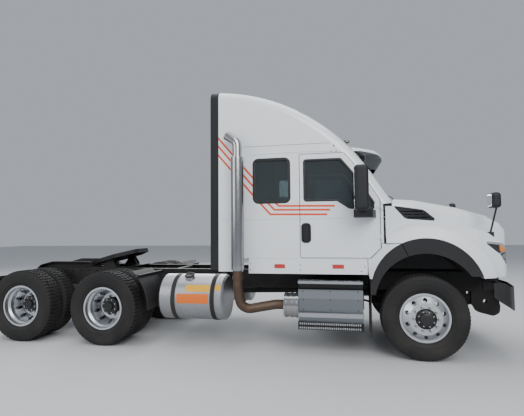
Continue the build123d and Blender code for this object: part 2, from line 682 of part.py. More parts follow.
# Bonnet and wings

def cut_arch(piece):
    """Takes the wheel arches out of a piece on both sides."""
    arch = Pos(ARCH_CENTRE[0], 0, ARCH_CENTRE[1]) * Rot(90, 0, 0) * Cylinder(ARCH_RADIUS, 800)
    return piece - [Pos(0, 1000, 0) * arch, Pos(0, -1000, 0) * arch]


# Sections of the bonnet from the windscreen's foot to the nose.
# Columns: x, half width, height at the centreline, corner radius
BONNET_STATIONS = [
    (-460, 1088, 2025, 90),
    (-60, 1000, 2004, 110),
    (500, 822, 1905, 130),
    (900, 660, 1800, 130),
    (1085, 560, 1705, 110),
    (1150, 505, 1640, 80),
]
BONNET_CROWN = 28
BONNET_BOTTOM_Z = 1010
NOSE_WALL = 45


def bonnet_section(x, half, top, corner, bottom):
    edge = top - BONNET_CROWN
    roof = ThreePointArc((-half, edge), (0, top), (half, edge))
    rest = Polyline((half, edge), (half, bottom), (-half, bottom), (-half, edge))
    face = make_face([roof, rest])
    face = fillet(face.vertices().sort_by(Axis.Y)[-2:], corner)
    return Plane(origin=(x, 0, 0), x_dir=(0, 1, 0), z_dir=(1, 0, 0)) * face


def bonnet_top(inset):
    """The bonnet between the wings, lofted through its stations."""
    sections = []
    last = len(BONNET_STATIONS) - 1
    bottom = BONNET_BOTTOM_Z - 20 - inset
    for number, (x, half, top, corner) in enumerate(BONNET_STATIONS):
        shift = inset * NOSE_WALL / BONNET_WALL if number in (0, last) else 0
        sections.append(bonnet_section(x - shift, half - inset, top - inset, corner - inset, bottom))
    return loft(sections, ruled=True)


def wing(inset):
    """The left wing: crowned in side view, rounded at the front corner in plan."""
    back, low, inside = -475 - inset, 1000 - inset, 300 - inset
    profile = [
        (back, low), (back, 1490 - inset), (-250, 1668 - inset), (250, 1690 - inset),
        (760, 1560 - inset), (1010 - inset, 1380 - inset), (1030 - inset, 1110), (960 - inset, low),
    ]
    side_form = side_prism(outline(profile, [0, 60, 220, 500, 220, 90, 60, 0]), (0, 1250))
    plan = [
        (back, inside), (back, WING_SIDE_Y - inset), (640, WING_SIDE_Y - inset),
        (1000 - inset, 960 - inset), (1120 - inset, 520), (1120 - inset, inside),
    ]
    return side_form & plan_prism(outline(plan, [0, 0, 260, 160, 0, 0]), (low, 1800))


def swell(outer, z_low, z_high):
    """The wing's bulge round the wheel arch, a cone from the lip back to the wing's side."""
    x, z = ARCH_CENTRE
    points = [(ARCH_RADIUS - 30, WING_SIDE_Y - 40), (outer, WING_SIDE_Y - 40), (outer, WING_SIDE_Y - 6),
              (ARCH_RADIUS + 8, WING_LIP_Y), (ARCH_RADIUS - 30, WING_LIP_Y)]
    ring = spun(points, 0, x, z)
    return ring & block((-800, 900), (0, 1300), (z_low, z_high))


def bonnet():
    """Bonnet and wings as one open shell, before its openings are cut."""
    outer = bonnet_top(0)
    inner = bonnet_top(BONNET_WALL)
    for piece in both(wing(0)):
        outer += piece
    for piece in both(wing(BONNET_WALL)):
        inner += piece
    shell = outer - inner
    for piece in both(swell(WING_SWELL_RADIUS, 1010, 1700) & wing_plan_limit()):
        shell += piece
    return shell


def wing_plan_limit():
    """Keeps the bulge behind the wing's rounded front corner."""
    plan = [(-460, 900), (-460, 1300), (560, 1300), (985, 975), (985, 900)]
    return plan_prism(outline(plan, [0, 0, 300, 60, 0]), (980, 1800))


rear_cut = block((-900, BONNET_REAR_X), (-1300, 1300), (900, 2200))
tail_cut = block((-900, 0), (500, 1300), (900, WING_SEAM_Z))
cowl_radius = 3180
cowl_cut = Pos(-158 - cowl_radius, 0, 2100) * Cylinder(cowl_radius, 400)
LAMP_FACE = outline([(700, 1455), (960, 1425), (1100, 1300), (1100, 1150), (1000, 1160), (915, 1290)], 20)
lamp_zone = side_prism(LAMP_FACE, (560, 1250))
lamp_fit = side_prism(offset(LAMP_FACE, -SEAT_GAP, kind=Kind.INTERSECTION), (560 + SEAT_GAP, 1250))
GRILLE_HALF = 400
GRILLE_LOW_Z = 1090
GRILLE_HIGH_Z = 1590
GRILLE_FACE = outline([
    (-GRILLE_HALF, GRILLE_LOW_Z), (GRILLE_HALF, GRILLE_LOW_Z),
    (GRILLE_HALF, GRILLE_HIGH_Z), (-GRILLE_HALF, GRILLE_HIGH_Z)], 50)
grille_hole = front_prism(GRILLE_FACE, (1050, 1250))
VENT_FACE = outline([(-330, 1905), (-180, 1735), (240, 1705), (60, 1850)], [12, 90, 20, 120])
vent_hole = side_prism(VENT_FACE, (700, 1250))

chin_cut = side_prism(outline([(1150, 1480), (1200, 1480), (1200, 900), (1115, 900)]), (-700, 700))
under_cut = block((-900, 1300), (-1300, 1300), (900, BONNET_BOTTOM_Z))

bonnet_form = bonnet()
bonnet_shell = bonnet_form - [rear_cut, cowl_cut, under_cut, chin_cut, grille_hole]
for cutter in both(tail_cut) + both(lamp_zone) + both(vent_hole):
    bonnet_shell -= cutter
bonnet_shell = cut_arch(bonnet_shell)


def hinge_eye(y):
    """A bonnet lug round the hinge pin, up to the chin of the nose."""
    x, z = BONNET_PIVOT
    shape = outline([(x - 26, z - 10), (x + 26, z - 10), (1112, 1030), (1112, 1075), (x - 20, 1075)])
    lug = side_prism(shape, (y - 10, y + 10))
    lug += rod((x, y - 10, z), (x, y + 10, z), 28)
    return lug - rod((x, y - 11, z), (x, y + 11, z), BONNET_PIN_RADIUS + RUN_GAP)


def hinge_bracket(y):
    """A bracket on the rail's front end with the bonnet's hinge pin."""
    x, z = BONNET_PIVOT
    shape = outline([(RAIL_FRONT_X - 120, RAIL_TOP), (RAIL_FRONT_X - 120, 900), (x + 10, 900), (x + 28, z),
                     (x, z + 26), (x - 60, RAIL_TOP)])
    return side_prism(shape, (y - 8, y + 8)) + rod((x, y - 50, z), (x, y + 8, z), BONNET_PIN_RADIUS)


HINGE_Y = RAIL_OUTER_Y + 8
NODES["crossmembers"] += both(hinge_bracket(HINGE_Y))
for eye in both(hinge_eye(HINGE_Y - 30)):
    bonnet_shell += eye
NODES["bonnet"] = bonnet_shell


# Flares and fixed rear ends of the wings

def arch_band(y):
    """The black band between the wing's lip circle and the flare's own circle."""
    outer = Pos(*ARCH_CENTRE) * Circle(ARCH_RADIUS - SEAT_GAP)
    inner = Pos(*FLARE_CENTRE) * Circle(FLARE_RADIUS)
    return side_prism(outer - inner, y)


def liner():
    """Inner arch sheet from the flare towards the frame, closed by an inner wall."""
    ring = Pos(*FLARE_CENTRE) * (Circle(FLARE_RADIUS + 12) - Circle(FLARE_RADIUS + 2))
    sheet = side_prism(ring, (FLARE_INNER_Y, WING_SIDE_Y - 20))
    wall = side_prism(Pos(*FLARE_CENTRE) * Circle(FLARE_RADIUS + 7), (FLARE_INNER_Y, FLARE_INNER_Y + 8))
    return (sheet + wall) & block((-700, 800), (500, 1200), (1075, 1400))


seam_rise = WING_SEAM_Z - ARCH_CENTRE[1]
seam_angle = math.asin(seam_rise / ARCH_RADIUS)


def rear_sector(gap):
    """The side-view region behind a line from the arch's centre through the wing's seam."""
    x, z = ARCH_CENTRE
    reach = 1400
    slope = (-math.cos(seam_angle), math.sin(seam_angle))
    base = (x - gap * math.sin(seam_angle), z - gap * math.cos(seam_angle))
    tip = (base[0] + reach * slope[0], base[1] + reach * slope[1])
    return side_prism(outline([base, tip, (-1500, tip[1]), (-1500, 0), (base[0], 0)]), (400, 1300))


flare_y = (WING_SIDE_Y - 30, WING_LIP_Y - 8)
flare_all = arch_band(flare_y) & block((-700, 800), (500, 1250), (760, 1700))
front_flare = (flare_all - rear_sector(0)) & block((-700, 800), (500, 1250), (1030, 1700))
front_liner = liner() - rear_sector(0)
NODES["bonnet_flares"] = both(front_flare + front_liner)
rear_flare = (flare_all & rear_sector(PANEL_GAP)) & block((-700, 0), (500, 1250), (SILL_BOTTOM_Z - 240, 1500))
rear_liner = liner() & rear_sector(PANEL_GAP)


def front_flap():
    """Flap behind the steered wheel, hung from the flare and stayed from the step box."""
    flap = block((-636, -626), (700, 1150), (253, 985))
    return flap + block((STEP_FRONT_X, -636), (700, 760), (800, 860))


wing_guard = rear_flare + rear_liner + front_flap()


def wing_tail():
    """Fixed rear end of the wing, flush with the door and swelling out to the arch's lip."""
    gap = PANEL_GAP * 0.7
    notch = [(DOOR_FRONT_X + PANEL_GAP, DOOR_BOTTOM_Z + DOOR_NOTCH - 3),
             (DOOR_FRONT_X - DOOR_NOTCH + gap, DOOR_BOTTOM_Z - gap - 2)]
    top = WING_SEAM_Z - PANEL_GAP
    face = outline([(-200, top), (DOOR_FRONT_X + PANEL_GAP, top), *notch,
                    (-652, DOOR_BOTTOM_Z - gap - 2), (-652, 1045), (-640, 986), (-200, 986)])
    zone = side_prism(face, (1050, 1300))
    skin = side_prism(face, (CAB_HALF - BONNET_WALL, CAB_HALF + 8))
    bulge = swell(SWELL_RADIUS, 980, WING_SEAM_Z)
    return cut_arch(skin + (bulge & zone))


tail_left = wing_tail()
NODES["wing_tails"] = both(tail_left)
recess_face = outline([(-200, WING_SEAM_Z), (DOOR_FRONT_X + 2, WING_SEAM_Z), (DOOR_FRONT_X + 2, 1366),
                       (-630, 1222), (-660, 1222), (-660, 900), (-200, 900)])
tail_recess = side_prism(offset(recess_face, 1), (CAB_HALF - BONNET_WALL - SEAT_GAP, 1300))
for cutter in both(tail_recess):
    cab_body -= cutter
cab_body = cut_arch(cab_body)
for hinge_z in DOOR_HINGE_Z:
    for lugs in both(pillar_lugs(hinge_z)):
        cab_body += lugs

# The shell is parted where its floor and rear wall are joined to the sides.
floor_top = CAB_FLOOR_Z + CAB_WALL
floor_zone = block((CAB_REAR_X - 1, 0), (-1400, 1400), (1000, floor_top))
rear_zone = block((CAB_REAR_X - 1, CAB_REAR_X + CAB_WALL), (-1400, 1400), (floor_top, ROOF_SEAM_Z + 1))
NODES["cab_floor"] = cab_body & floor_zone
NODES["cab_rear_wall"] = cab_body & rear_zone
NODES["cab_body"] = cab_body - floor_zone - rear_zone


# Grille, vents, lamps and mirrors on the bonnet

def grille():
    """A frame with level bars and three upright ribs, following the slope of the nose."""
    fit = offset(GRILLE_FACE, -SEAT_GAP, kind=Kind.INTERSECTION)
    hole = offset(GRILLE_FACE, -34, kind=Kind.INTERSECTION)
    body = front_prism(fit - hole, (1090, 1160))
    for i in range(9):
        z = 1132 + 52 * i
        bar = block((1104, 1134), (-GRILLE_HALF + 20, GRILLE_HALF - 20), (z - 11, z + 11))
        body += bar
    for y in (-200, 0, 200):
        body += block((1096, 1122), (y - 9, y + 9), (1110, 1570))
    slope = side_prism(outline([(1156, 1620), (1300, 1620), (1300, 900), (1118, 1010)]), (-700, 700))
    return body - slope


vent_layer = bonnet_top(14) - bonnet_top(BONNET_WALL)
vent_fit = side_prism(offset(VENT_FACE, -SEAT_GAP, kind=Kind.INTERSECTION), (700, 1250))
vent_panel = vent_layer & vent_fit
for row in range(3):
    slot = Pos(-10 - 40 * row, 1755 + 38 * row) * RectangleRounded(290, 16, 7)
    vent_panel -= side_prism(slot, (700, 1250))
NODES["grilles"] = [grille()] + both(vent_panel)
lamp_layer = bonnet_form & lamp_fit
NODES["headlamps"] = both(lamp_layer)


def bonnet_mirror():
    """Foot on the wing, stay and rounded head."""
    foot = block((800, 860), (930, 990), (1470, 1562))
    stay = rod((826, 960, 1540), (905, 985, 1880), 11)
    head = Pos(878, 985, 1950) * Box(110, 200, 190)
    head = fillet(head.edges(), 40)
    return (foot + stay) - wing(0) - bonnet_top(0) + head


NODES["bonnet_mirrors"] = both(bonnet_mirror())


# Doors' mirrors and handles

def door_mirror():
    """Lower and upper arm and the mirror's head."""
    arm = plan_prism(outline([(-541, CAB_HALF), (-800, CAB_HALF), (-830, 1330), (-690, 1400), (-600, 1330)],
                             [0, 0, 30, 30, 60]), (1756, 1850))
    upper = block((-706, -670), (CAB_HALF, 1290), (2118, 2148))
    head = Pos(-735, 1405, 2105) * Box(170, 290, 550)
    head = fillet(head.edges(), 45)
    return arm + upper + head


def door_handle():
    """Recess rim and grip, standing on the door's skin."""
    rim_face = Pos(-1436, 1567) * RectangleRounded(128, 262, 50)
    grip = Pos(-1436, 1567) * RectangleRounded(60, 200, 28)
    body = side_prism(rim_face, (CAB_HALF, CAB_HALF + 10))
    return body + side_prism(grip, (CAB_HALF + 8, CAB_HALF + 34))


for side in SIDES:
    NODES[f"door_fittings_{side}"] = [on_side(door_mirror(), side), on_side(door_handle(), side)]


# Bumper

def bumper():
    """A deep channel wrapped round the front, open behind, with brackets to the rails."""
    def plan(inset):
        front, half = BUMPER_FRONT_X - inset, BUMPER_HALF - inset
        points = [(770, half), (940, half), (front - 90, 1010 - inset), (front, 560), (front, -560),
                  (front - 90, -1010 + inset), (940, -half), (770, -half)]
        return outline(points, [0, 120, 160, 300, 300, 160, 120, 0])

    shell = plan_prism(plan(0) - plan(BUMPER_SKIN), (600, 980))
    lip = plan_prism(plan(BUMPER_SKIN / 2) - plan(60), (BUMPER_TOP_Z - 25 - BUMPER_SKIN, BUMPER_TOP_Z - 25))
    side_shape = outline([
        (760, 965), (850, 960), (985, BUMPER_TOP_Z), (1200, BUMPER_TOP_Z), (1200, BUMPER_BOTTOM_Z),
        (1020, BUMPER_BOTTOM_Z), (856, 724), (760, 800),
    ])
    body = (shell + lip) & side_prism(side_shape, (-1300, 1300))
    for z in (660, 700, 740):
        body -= front_prism(Pos(0, z) * RectangleRounded(900, 22, 10), (1000, 1200))
    bracket = block((880, BUMPER_FRONT_X - BUMPER_SKIN + 2), (RAIL_OUTER_Y, RAIL_OUTER_Y + 10), (770, 870))
    for piece in both(bracket):
        body += piece
    return body


NODES["bumper"] = bumper()


# Sill panels, step boxes, tanks and exhaust

def sill_panel():
    """Side skirt under the cab with a flange below the floor."""
    top = DOOR_BOTTOM_Z - PANEL_GAP
    plate = block((SILL_REAR_X, -660), (CAB_HALF - 20, CAB_HALF + 6), (SILL_BOTTOM_Z, top))
    flange = block((SILL_REAR_X, -700), (CAB_HALF - 180, CAB_HALF - 14), (top - 20, CAB_FLOOR_Z - SEAT_GAP))
    return plate + flange


def step_box():
    """Equipment box with three treads, carried on two arms from the frame."""
    tread, face = STEP_OUTER_Y, 1098
    section = [
        (560, 345), (1040, 345), (1040, 330), (tread, 330), (tread, 425), (face, 428), (face, 480),
        (tread, 482), (tread, 544), (face, 546), (face, 835), (1030, 840), (1030, 905), (tread, 910),
        (tread, 950), (1020, 952), (1020, 900), (560, 900),
    ]
    body = front_prism(outline(section), (STEP_REAR_X, STEP_FRONT_X))
    for x in (STEP_REAR_X + 180, STEP_FRONT_X - 180):
        body += block((x - 40, x + 40), (RAIL_OUTER_Y, 570), (790, 890))
    return body


def fuel_tank():
    end = 26
    half = (TANK_FRONT_X - TANK_REAR_X) / 2
    middle = (TANK_FRONT_X + TANK_REAR_X) / 2
    profile = [(0, -half), (TANK_RADIUS - end, -half), (TANK_RADIUS, -half + end),
               (TANK_RADIUS, half - end), (TANK_RADIUS - end, half), (0, half)]
    face = make_face(Polyline(*[(x, r) for r, x in profile], close=True))
    plane = Plane(origin=(middle, TANK_Y, TANK_Z), x_dir=(1, 0, 0), z_dir=(0, -1, 0))
    tank = revolve(plane * face, axis=Axis((middle, TANK_Y, TANK_Z), (1, 0, 0)))
    neck_x = -3110
    return tank + rod((neck_x, TANK_Y + 120, TANK_Z + 250), (neck_x, TANK_Y + 150, TANK_Z + 318), 62)


def tank_strap(x):
    """A band round the tank and its bracket on the rail."""
    wide = (x - STRAP_WIDTH / 2, x + STRAP_WIDTH / 2)
    inner = TANK_RADIUS + SEAT_GAP
    centre = Pos(TANK_Y, TANK_Z)
    ring = front_prism(centre * (Circle(inner + STRAP_SKIN) - Circle(inner)), wide)
    bracket = outline([
        (RAIL_OUTER_Y, 980), (RAIL_OUTER_Y, 380), (600, 350), (760, 345), (560, 640), (600, 900), (500, 980)])
    return ring + (front_prism(bracket, wide) - front_prism(centre * Circle(inner), wide))


def exhaust_pipe():
    """Pipe from the stack's foot down, forwards and up into the can."""
    path = FilletPolyline(
        (STACK_X, -STACK_Y, 1074), (STACK_X, -STACK_Y, 880), (STACK_X + 30, -1150, 550),
        (CAN_REAR_X - 120, -CAN_Y, CAN_Z), (CAN_REAR_X, -CAN_Y, CAN_Z),
        radius=[150, 150, 150])
    start = path @ 0
    outer = sweep(Plane(origin=start, z_dir=path % 0) * Circle(PIPE_RADIUS), path=path)
    clamp = rod((STACK_X, -STACK_Y, 955), (STACK_X, -STACK_Y, 1000), PIPE_RADIUS + 10)
    return outer + clamp


def exhaust_can():
    """Round can behind the steps with raised bands."""
    z, y = CAN_Z, -CAN_Y
    end = STEP_REAR_X - SEAT_GAP
    body = rod((CAN_REAR_X, y, z), (end, y, z), CAN_RADIUS - 8)
    for x in (CAN_REAR_X + 14, CAN_REAR_X + 90, end - 40):
        body += rod((x, y, z), (x + 22, y, z), CAN_RADIUS)
    return body


def exhaust_stack():
    """Upright pipe in its heat shield, the tip bent rearwards and cut level with the wind."""
    path = FilletPolyline(
        (STACK_X, -STACK_Y, 1074), (STACK_X, -STACK_Y, 2800), (STACK_X - 150, -STACK_Y, 2905), radius=[120])
    start = path @ 0
    ring = Plane(origin=start, z_dir=path % 0) * (Circle(PIPE_RADIUS) - Circle(PIPE_RADIUS - PIPE_SKIN))
    body = sweep(ring, path=path)
    shield = rod((STACK_X, -STACK_Y, 1090), (STACK_X, -STACK_Y, 2591), SHIELD_RADIUS)
    body += shield - rod((STACK_X, -STACK_Y, 1089), (STACK_X, -STACK_Y, 2592), PIPE_RADIUS - 1)
    for z in (1420, 2300):
        body += block((STACK_X - 30, STACK_X + 30), (-STACK_Y + 60, -CAB_HALF), (z - 20, z + 20))
    return body


NODES["sill_panels"] = both(sill_panel())
NODES["step_boxes"] = both(step_box())
NODES["fuel_tanks"] = both(fuel_tank())
NODES["tank_straps"] = both(tank_strap(TANK_STRAP_X[0])) + both(tank_strap(TANK_STRAP_X[1]))
NODES["exhaust_pipe"] = exhaust_pipe()
NODES["exhaust_can"] = exhaust_can()
NODES["exhaust_stack"] = exhaust_stack()


# Coupling plate

def coupling_tilted(piece):
    """Turns a level piece tail down about the coupling's pivot."""
    pivot = Pos(COUPLING_X, 0, COUPLING_PIVOT_Z)
    return pivot * Rot(0, -COUPLING_TILT, 0) * pivot.inverse() * piece


def coupling_plate():
    """Grooved top plate with skirts, a flared throat, the jaw and two pivot lugs."""
    x, top = COUPLING_X, COUPLING_PIVOT_Z + COUPLING_TOP
    front, rear, half = x + COUPLING_FRONT, x - COUPLING_REAR, COUPLING_HALF
    edge = [
        (front, -210), (front, 210), (x + 150, half), (x - 140, half), (rear, 250), (rear, 190),
        (x - 120, KINGPIN_SEAT_RADIUS + 4), (x - 120, -KINGPIN_SEAT_RADIUS - 4), (rear, -190), (rear, -250),
        (x - 140, -half), (x + 150, -half),
    ]
    form = outline(edge, [120, 120, 150, 150, 30, 30, 0, 0, 30, 30, 150, 150])
    body = plan_prism(form, (top - COUPLING_DEPTH, top))
    hollow = offset(form, -24, kind=Kind.INTERSECTION)
    body -= plan_prism(hollow, (top - COUPLING_DEPTH - 1, top - COUPLING_SKIN))
    body += rod((x, 0, top - COUPLING_DEPTH), (x, 0, top), 92)
    body -= rod((x, 0, top - COUPLING_DEPTH - 1), (x, 0, top + 1), KINGPIN_SEAT_RADIUS)
    for y in (-COUPLING_PIN_Y, COUPLING_PIN_Y):
        lug = outline([
            (x - 90, top - COUPLING_SKIN), (x - 46, COUPLING_PIVOT_Z - 20),
            (x + 46, COUPLING_PIVOT_Z - 20), (x + 90, top - COUPLING_SKIN)])
        body += side_prism(lug, (y - 30, y + 30))
        body += rod((x, y - 30, COUPLING_PIVOT_Z), (x, y + 30, COUPLING_PIVOT_Z), 46)
        bore = COUPLING_PIN_RADIUS + RUN_GAP
        body -= rod((x, y - 31, COUPLING_PIVOT_Z), (x, y + 31, COUPLING_PIVOT_Z), bore)
    return coupling_tilted(body)


def coupling_mount():
    """Base plate across the rails with a pair of cheeks and a pin on each side."""
    base_top = RAIL_TOP + 14
    body = block((COUPLING_X - 300, COUPLING_X + 300), (-RAIL_OUTER_Y, RAIL_OUTER_Y), (RAIL_TOP, base_top))
    body -= block((COUPLING_X - 240, COUPLING_X + 240), (-230, 230), (RAIL_TOP - 1, base_top + 1))
    cheek = outline([(COUPLING_X - 120, base_top), (COUPLING_X - 40, COUPLING_PIVOT_Z + 24),
                     (COUPLING_X + 40, COUPLING_PIVOT_Z + 24), (COUPLING_X + 120, base_top)])
    for y in (-COUPLING_PIN_Y, COUPLING_PIN_Y):
        for low in (y - 56, y + 36):
            body += side_prism(cheek, (low, low + 20))
        ends = [(COUPLING_X, y - 64, COUPLING_PIVOT_Z), (COUPLING_X, y + 64, COUPLING_PIVOT_Z)]
        body += rod(*ends, COUPLING_PIN_RADIUS)
    return body


NODES["coupling_plate"] = coupling_plate()
NODES["coupling_mount"] = coupling_mount()


# Mud guards and tail

def quarter_fender():
    """Curved guard in front of the first driven wheels with its stay."""
    x, radius = DRIVE_X[0], 700
    ring = side_prism(Pos(x, AXLE_Z) * (Circle(radius + 8) - Circle(radius)), (610, 1205))
    sector = outline([(x, AXLE_Z), (x + 1000, AXLE_Z), (x + 1000, AXLE_Z + 1150), (x + 870, AXLE_Z + 1000)])
    guard = ring & side_prism(sector, (600, 1210))
    stay_x, stay_z = x + (radius + 8) * math.cos(0.7) + 10, AXLE_Z + (radius + 8) * math.sin(0.7) + 10
    return guard + rod((stay_x, RAIL_OUTER_Y, stay_z), (stay_x, 1190, stay_z), 18)


def mud_flap():
    """Rear flap hung from a bar on the frame's end."""
    flap = block((FLAP_REAR_X, FLAP_REAR_X + FLAP_SKIN), (600, 1205), (300, 930))
    bar = block((FLAP_REAR_X + FLAP_SKIN, FLAP_REAR_X + FLAP_SKIN + 40), (RAIL_LIP_Y, 1200), (880, 930))
    arm = block((FLAP_REAR_X + FLAP_SKIN, RAIL_REAR_X + 10), (RAIL_LIP_Y + 20, RAIL_INNER_Y), (880, 930))
    return flap + bar + arm


NODES["mud_guards"] = both(wing_guard) + both(quarter_fender()) + both(mud_flap())


def tail_lamp():
    """Three round lamps in a row on a housing under the flap's bar."""
    housing = block((FLAP_REAR_X + 10, FLAP_REAR_X + 50), (440, 590), (800, 880))
    for y in (470, 515, 560):
        housing += rod((FLAP_REAR_X + 10, y, 840), (FLAP_REAR_X, y, 840), 18)
    return housing


NODES["tail_lamps"] = both(tail_lamp())


def written(piece, name):
    """Moves a node to the part's origin and writes it."""
    solids = piece if isinstance(piece, list) else [piece]
    moved = [Pos(ORIGIN_SHIFT, 0, 0) * s for entry in solids for s in entry.solids()]
    export_step(Compound(children=moved), f"parts/{name}.step")


os.makedirs("parts", exist_ok=True)
for name, piece in NODES.items():
    written(piece, name)
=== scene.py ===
"""Dressing of a semi truck tractor unit: tyres, fastenings, trim, cushions, finishes and a pale stage."""

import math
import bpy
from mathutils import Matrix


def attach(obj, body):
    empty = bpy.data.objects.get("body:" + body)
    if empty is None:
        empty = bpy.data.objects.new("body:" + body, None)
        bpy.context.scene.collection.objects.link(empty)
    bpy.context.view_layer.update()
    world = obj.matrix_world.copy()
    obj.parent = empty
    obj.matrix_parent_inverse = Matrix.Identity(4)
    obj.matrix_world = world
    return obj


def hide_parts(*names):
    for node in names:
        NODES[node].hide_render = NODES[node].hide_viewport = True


bl_info = {
    "name": "Tractor Unit Dressing",
    "version": (1, 0, 0),
    "blender": (4, 5, 0),
    "location": "3D View > Sidebar > Truck",
    "description": "Dresses the tractor unit with tyres, fastenings, trim and finishes",
    "category": "Object",
}

import bmesh
import bpy
import numpy as np
from mathutils import Matrix, Vector

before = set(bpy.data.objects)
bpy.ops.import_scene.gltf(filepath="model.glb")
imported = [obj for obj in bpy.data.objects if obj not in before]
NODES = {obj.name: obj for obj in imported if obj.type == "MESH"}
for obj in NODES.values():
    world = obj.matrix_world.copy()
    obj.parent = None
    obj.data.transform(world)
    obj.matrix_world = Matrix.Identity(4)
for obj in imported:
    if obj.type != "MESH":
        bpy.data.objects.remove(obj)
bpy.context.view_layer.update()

# Distance from the origin under the middle of the truck to its front axle
FRONT_AXLE_X = 2.561
SIDES = {"left": 1, "right": -1}
AXLE_X = {"front": FRONT_AXLE_X, "drive_1": FRONT_AXLE_X - 4.330, "drive_2": FRONT_AXLE_X - 5.675}
DRIVE_AXLES = ("drive_1", "drive_2")
AXLE_Z = 0.520

# Outer skins of the cab's sides and of the sill panels below them
CAB_SKIN_Y = 1.0792
SILL_SKIN_Y = 1.0855

# The roof is an arc about a line across the cab, crowned sideways. The windscreen leaves it as a tangent
# that leans back from upright by the lean.
ROOF_CENTRE_X = FRONT_AXLE_X - 2.856
ROOF_CENTRE_Z = 0.872
ROOF_RADIUS = 2.8283
CROWN_RADIUS = 4.0
SCREEN_LEAN = math.radians(33.0)


# Sizes and colours

def length_property(name, description, default, **limits):
    """A length in metres."""
    return bpy.props.FloatProperty(
        name=name, description=description, default=default, subtype="DISTANCE", unit="LENGTH", **limits)


def colour_property(name, description, default):
    """A linear colour."""
    return bpy.props.FloatVectorProperty(
        name=name, description=description, default=default, subtype="COLOR", size=3)


class TruckSizes(bpy.types.PropertyGroup):
    groove_depth: length_property("Tread depth", "Depth of the tyres' grooves", 0.013, min=0.0, max=0.03)
    nut_radius: length_property("Wheel nut", "Radius of a wheel nut over its corners", 0.0185)
    stripe_width: length_property("Stripe width", "Width of each painted stripe", 0.026)
    dust_height: length_property("Dust height", "Height to which road dust reaches", 1.5)
    seal_width: length_property("Window seal", "Width of the black surround of the side windows", 0.034)


class TruckColours(bpy.types.PropertyGroup):
    paint: colour_property("Paint", "Body paint", (0.78, 0.81, 0.84))
    stripe: colour_property("Stripes", "The three side stripes", (0.74, 0.065, 0.012))
    chassis: colour_property("Chassis", "Frame, axles and brackets", (0.010, 0.010, 0.011))
    trim: colour_property("Black trim", "Moulded black plastic", (0.012, 0.012, 0.014))
    rubber: colour_property("Rubber", "Tyres", (0.010, 0.010, 0.0105))
    dust: colour_property("Dust", "Road dust", (0.22, 0.19, 0.16))
    cloth: colour_property("Seat cloth", "Seats and bunk", (0.23, 0.23, 0.25))


# Shader groups shared by the finishes

GROUPS = {}


def feed(place, value):
    """Links a node's input to a value, or sets it to a plain number."""
    if isinstance(value, Value):
        value.tree.links.new(value.socket, place)
    else:
        place.default_value = value


def math_value(tree, operation, first, second=None, clamp=False):
    """What a math node makes of one or two values or plain numbers."""
    node = tree.nodes.new("ShaderNodeMath")
    node.operation = operation
    node.use_clamp = clamp
    for place, value in zip(node.inputs, (first, second)):
        if value is not None:
            feed(place, value)
    return Value(tree, node.outputs[0])


class Value:
    """A number that a shader node gives out; arithmetic with it adds math nodes to its tree."""

    def __init__(self, tree, socket):
        self.tree = tree
        self.socket = socket

    def math(self, operation, other=None, clamp=False):
        """A math operation on this value and another."""
        return math_value(self.tree, operation, self, other, clamp)

    def __add__(self, other):
        return self.math("ADD", other)

    def __sub__(self, other):
        return self.math("SUBTRACT", other)

    def __mul__(self, other):
        return self.math("MULTIPLY", other)

    def __pow__(self, other):
        return self.math("POWER", other)

    def __abs__(self):
        return self.math("ABSOLUTE")

    def __lt__(self, other):
        return self.math("LESS_THAN", other)

    def __gt__(self, other):
        return self.math("GREATER_THAN", other)

    def ramp(self, low, high):
        """The value stretched so that low gives 0 and high gives 1, clamped between."""
        node = self.tree.nodes.new("ShaderNodeMapRange")
        for label, value in (("Value", self), ("From Min", low), ("From Max", high)):
            feed(node.inputs[label], value)
        return Value(self.tree, node.outputs["Result"])


def combined(operation, values):
    """Several values brought down to one by a math operation on two at a time."""
    total = values[0]
    for value in values[1:]:
        total = total.math(operation, value)
    return total


def object_coordinates(tree):
    """The vector socket of the object coordinates."""
    return tree.nodes.new("ShaderNodeTexCoord").outputs["Object"]


def coordinates(tree):
    """The object's x, y and z as three values."""
    split = tree.nodes.new("ShaderNodeSeparateXYZ")
    tree.links.new(object_coordinates(tree), split.inputs[0])
    return [Value(tree, socket) for socket in split.outputs]


def noise(tree, scale, detail, roughness=0.55):
    """Noise over the object coordinates."""
    node = tree.nodes.new("ShaderNodeTexNoise")
    for label, value in (("Scale", scale), ("Detail", detail), ("Roughness", roughness)):
        feed(node.inputs[label], value)
    tree.links.new(object_coordinates(tree), node.inputs["Vector"])
    return Value(tree, node.outputs["Fac"])


def new_group(name, output, **inputs):
    """An empty shared group: its tree, its number inputs as values, and the socket of its one output."""
    tree = bpy.data.node_groups.new(name, "ShaderNodeTree")
    for label, value in inputs.items():
        socket = tree.interface.new_socket(label, in_out="INPUT", socket_type="NodeSocketFloat")
        socket.default_value = value
    tree.interface.new_socket(output, in_out="OUTPUT", socket_type="NodeSocketFloat")
    given = tree.nodes.new("NodeGroupInput").outputs
    result = tree.nodes.new("NodeGroupOutput").inputs[output]
    GROUPS[name] = tree
    return tree, [Value(tree, given[label]) for label in inputs], result


def road_dust_group():
    """Mask that is strong near the road, fades with height and is broken up by two sizes of noise."""
    tree, (height, amount), mask = new_group("Road dust", "Mask", Height=1.5, Amount=0.5)
    fade = coordinates(tree)[2].ramp(height, 0.2)
    large = noise(tree, 3.0, 5.0).ramp(0.35, 0.65)
    fine = noise(tree, 60.0, 4.0).ramp(0.3, 0.7)
    feed(mask, (fade * (large + fine * 0.4)).math("MULTIPLY", amount, clamp=True))


def surface_grain_group():
    """Height field of moulded grain or cast skin: coarse noise with fine noise on it."""
    tree, (scale,), height = new_group("Surface grain", "Height", Scale=200.0)
    feed(height, noise(tree, scale, 2.0) + noise(tree, scale * 3.1, 3.0) * 0.4)


